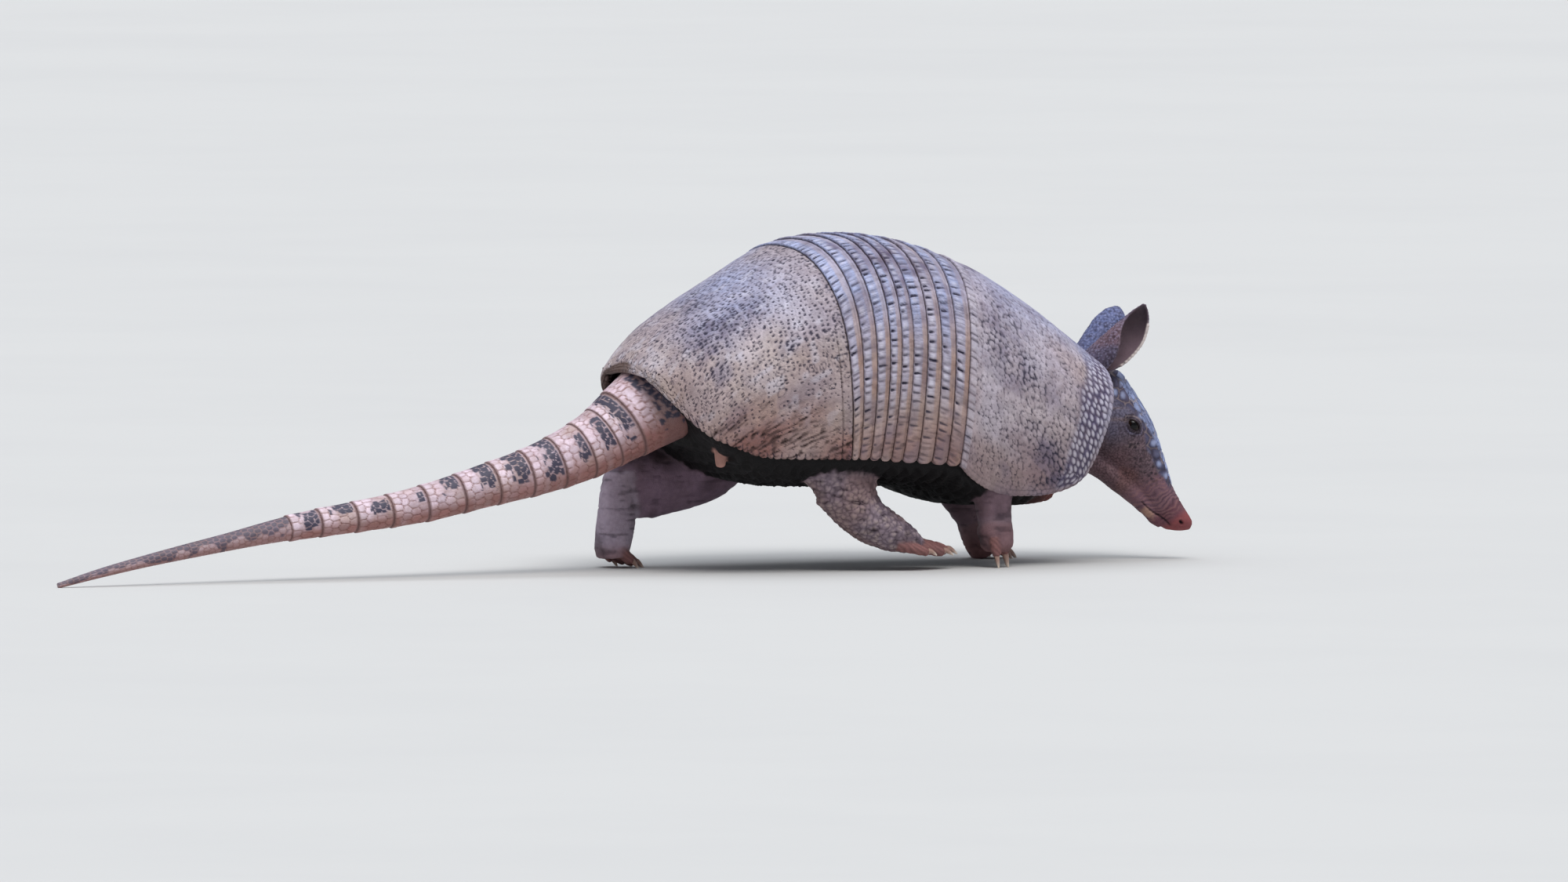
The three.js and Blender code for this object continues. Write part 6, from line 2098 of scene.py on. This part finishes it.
@dataclass
class Skin:
    """One skin over trunk, neck, head, ears, legs, feet and toes.

    Attributes:
        voxel: fineness of the joined surface, in millimetres.
        budget: most triangles in the finished skin.
        columns: points round the neck, the head and each foot.
    """

    voxel: float = 0.62
    budget: int = 194_000
    columns: int = 64

    def bodies(self) -> list[tuple[Array, Array]]:
        """Collect the closed bodies that the skin joins, with a region for each point."""
        made: list[tuple[Array, Array]] = []

        def add(rings: Array, region: Region, special: Array | None = None,
                other: Region | None = None) -> None:
            """Keep a body; points where special is set belong to the other region."""
            labels = np.full(rings.shape[:2], region.value)
            if special is not None:
                labels = np.where(special, other.value, labels)
            made.append((rings, labels))

        angle = circle(self.columns)
        trunk, hidden = trunk_rings()
        add(trunk, BELLY, hidden, HIDDEN)
        add(neck_rings(angle), NECK)
        add(skull_rings(angle), HEAD)
        add(jaw_rings(angle), HEAD)
        for table, side in ((EAR_RIGHT, -1.0), (EAR_LEFT, 1.0)):
            rings, inner, beads = ear_rings(table, side)
            add(rings, EAR, inner, EAR_IN)
            for centre in beads:
                add(bead(centre, BEAD_RADIUS), FRINGE)
        for table in LEGS.values():
            add(tube(table, 40), LEG)
        for table in FEET.values():
            add(foot_rings(table, angle), FOOT)
        for toes in TOES.values():
            for toe in toes:
                add(toe_rings(toe), TOE)
        add(tube([[*row, row[3]] for row in TEAT_STATIONS], 20), TEAT)
        return made

    @staticmethod
    def regions(points: Array, made: list[tuple[Array, Array]]) -> Array:
        """Give every point the region of the nearest body point."""
        source = np.concatenate([rings.reshape(-1, 3) for rings, _ in made])
        labels = np.concatenate([part.ravel() for _, part in made])
        tree = KDTree(len(source))
        for index, place in enumerate(source.tolist()):
            tree.insert(place, index)
        tree.balance()
        return labels[np.fromiter((tree.find(place)[1] for place in points.tolist()), int, len(points))]

    def join(self) -> tuple[Object, Array]:
        """Join the bodies into one smooth surface.

        Returns:
            The object, and a region for each vertex.
        """
        made = self.bodies()
        piece = loft("skin", *(rings for rings, _ in made))
        joined = piece.modifiers.new("join", "REMESH")
        joined.mode = "VOXEL"
        joined.voxel_size = self.voxel / 1000.0
        joined.use_smooth_shade = True
        apply_modifiers(piece)
        points, _, _ = mesh_arrays(piece)
        labels = self.regions(points, made)
        self.relax(piece, "even", 4, np.ones(len(labels)))
        before, normals, _ = mesh_arrays(piece)
        soft = np.choose(labels, SOFTNESS)
        self.relax(piece, "blend", 60, soft)
        after, _, _ = mesh_arrays(piece)
        outward = ((after - before) * normals).sum(1)
        store_points(piece, after - normals * np.minimum(outward, 0.0)[:, None] * 0.85)
        self.relax(piece, "settle", 3, soft)
        return piece, labels

    @staticmethod
    def relax(piece: Object, name: str, rounds: int, weights: Array) -> None:
        """Smooth a piece where its vertices have weight."""
        set_weights(piece, name, weights)
        smooth = piece.modifiers.new(name, "SMOOTH")
        smooth.factor, smooth.iterations, smooth.vertex_group = 0.5, rounds, name
        apply_modifiers(piece)

    def dress(self, piece: Object, labels: Array) -> None:
        """Press the relief into the skin and store its colours.

        Args:
            piece: the joined skin.
            labels: a region for each vertex.
        """
        points, normals, edges = mesh_arrays(piece)
        share = {region: diffuse((labels == region.value).astype(float), edges, 5) for region in Region}
        seen = np.flatnonzero(share[HIDDEN] < 0.98)
        field = Field(points[seen], normals[seen], {region: value[seen] for region, value in share.items()})
        body, face, ears = BodyCoat(field), FaceCoat(field), EarCoat(field)
        relief = ears.raised(face.raised(body.relief()))
        lids = LidCoat(field, field.p + field.n * relief[:, None])
        points[seen] = lids.moved
        store_points(piece, points)

        paint = Paint.plain((96, 74, 76), len(seen))
        body.paint(paint.lay)
        face.paint(paint.lay, lids.near_eye)
        lids.paint(paint.lay)
        ears.paint(paint.lay)
        tint = Paint.plain((80, 60, 60), len(points)).shade
        tint[seen] = paint.shade
        furrow, belly = np.zeros(len(points)), np.zeros(len(points))
        furrow[seen] = clip01(body.dark() + face.dark() + ears.dark() + lids.dark())
        # belly: where the belly is painted near black, as painted shade under the shell.
        belly[seen] = field.w[BELLY] * fall(222, 246, field.x)
        layer = piece.data.attributes.new("tint", "FLOAT_COLOR", "POINT")
        opaque = np.column_stack([tint, np.ones(len(tint))])
        layer.data.foreach_set("color", opaque.astype(np.float32).ravel())
        mark(piece, furrow=furrow, belly=belly)
        spare = np.minimum(np.choose(labels, SPARE), 0.5)
        self.thin(piece, np.where(share[HIDDEN] > 0.9, 1.0, spare))

    def thin(self, piece: Object, weights: Array) -> None:
        """Collapse the surface down to the budget, mostly where the shell hides it."""
        faces = sum(len(face.vertices) - 2 for face in piece.data.polygons)
        set_weights(piece, "spare", weights)
        fewer = piece.modifiers.new("fewer", "DECIMATE")
        fewer.ratio = min(1.0, self.budget / faces)
        fewer.vertex_group = "spare"
        fewer.use_collapse_triangulate = True
        apply_modifiers(piece)
        LOG.info("skin: %d triangles joined, %d kept, hidden share %.2f, body share %.2f", faces,
                 len(piece.data.polygons), (weights > 0.9).mean(),
                 ((weights > 0.05) & (weights < 0.9)).mean())

    def build(self) -> None:
        """Build and dress the skin."""
        piece, labels = self.join()
        self.dress(piece, labels)
        limbs = ("hind_leg", "fore_leg", "hind_foot", "fore_foot", "ear")
        sided = [f"{limb}_{side}" for limb in limbs for side in ("right", "left")]
        declare(piece, LEATHER.material(), "skin", "trunk", "neck", "head", "jaw", *sided)


# ------------ studio
@dataclass(frozen=True)
class Studio:
    """Pale floor, soft light and a distant camera.

    Attributes:
        target: the point in the middle of the picture, in metres.
        azimuth: direction the camera faces, in degrees from +Y towards +X.
        elevation: degrees above the floor.
        distance: metres from the target.
        width: width of the picture at the target, in metres.
        floor_reach: half the floor's width, in metres.
        sensor: width of the camera's sensor, in millimetres.
    """

    target: tuple[float, float, float] = (0.1014, 0.0, 0.0714)
    azimuth: float = -26.0
    elevation: float = 3.0
    distance: float = 18.0
    width: float = 0.88
    floor_reach: float = 12.0
    sensor: float = 36.0

    def camera(self) -> None:
        """Place the camera."""
        lens = bpy.data.cameras.new("Camera")
        lens.sensor_width = self.sensor
        lens.lens = self.sensor * self.distance / self.width
        lens.clip_start, lens.clip_end = 1.0, 100.0
        holder = bpy.data.objects.new("Camera", lens)
        a, e = math.radians(self.azimuth), math.radians(self.elevation)
        back = Vector((math.sin(a) * math.cos(e), -math.cos(a) * math.cos(e), math.sin(e)))
        holder.location = Vector(self.target) + back * self.distance
        holder.rotation_euler = (-back).to_track_quat("-Z", "Y").to_euler()
        bpy.context.scene.collection.objects.link(holder)
        bpy.context.scene.camera = holder

    def sun(self, name: str, towards: tuple, power: float, spread: float, colour: tuple) -> None:
        """Light the scene evenly from far away, as a large soft box would.

        Args:
            name: the light's name.
            towards: the direction in which it lies.
            power: its power in watts a square metre.
            spread: how wide it looks, in degrees.
            colour: its linear colour.
        """
        light = bpy.data.lights.new(name, "SUN")
        light.angle, light.energy, light.color = math.radians(spread), power, colour
        holder = bpy.data.objects.new(name, light)
        holder.rotation_euler = (-Vector(towards)).to_track_quat("-Z", "Y").to_euler()
        bpy.context.scene.collection.objects.link(holder)

    def floor(self) -> None:
        """Lay the floor."""
        mesh = bpy.data.meshes.new("floor")
        r = self.floor_reach
        mesh.from_pydata([(-r, -r, 0), (r, -r, 0), (r, r, 0), (-r, r, 0)], [], [(0, 1, 2, 3)])
        plane = bpy.data.objects.new("floor", mesh)
        bpy.context.scene.collection.objects.link(plane)
        plane.data.materials.append(FLOOR_PAPER.material())

    def build(self) -> None:
        """Set up the whole studio."""
        self.floor()
        self.camera()
        self.sun("Sky", (0.0, -0.1, 1.0), 2.1, 80.0, (0.90, 0.94, 1.0))
        self.sun("Window", (-0.2, -1.0, 1.6), 1.25, 30.0, (1.0, 0.97, 0.95))
        world = bpy.data.worlds.new("Room")
        world.use_nodes = True
        sky = world.node_tree.nodes["Background"]
        sky.inputs["Color"].default_value = (0.80, 0.86, 0.96, 1.0)
        sky.inputs["Strength"].default_value = 0.38
        bpy.context.scene.world = world
        bpy.context.scene.view_settings.view_transform = "Standard"


def main() -> None:
    """Build every part in order, set up the studio and note the sizes."""
    logging.basicConfig(level=logging.INFO, format="%(message)s")
    make_stain_group()
    make_furrow_group()
    make_grain_group()
    for part in (Shell(), Tail(), HeadShield(), Eyes(), Claws(), Skin(), Studio()):
        part.build()


if __name__ == "__main__":
    main()
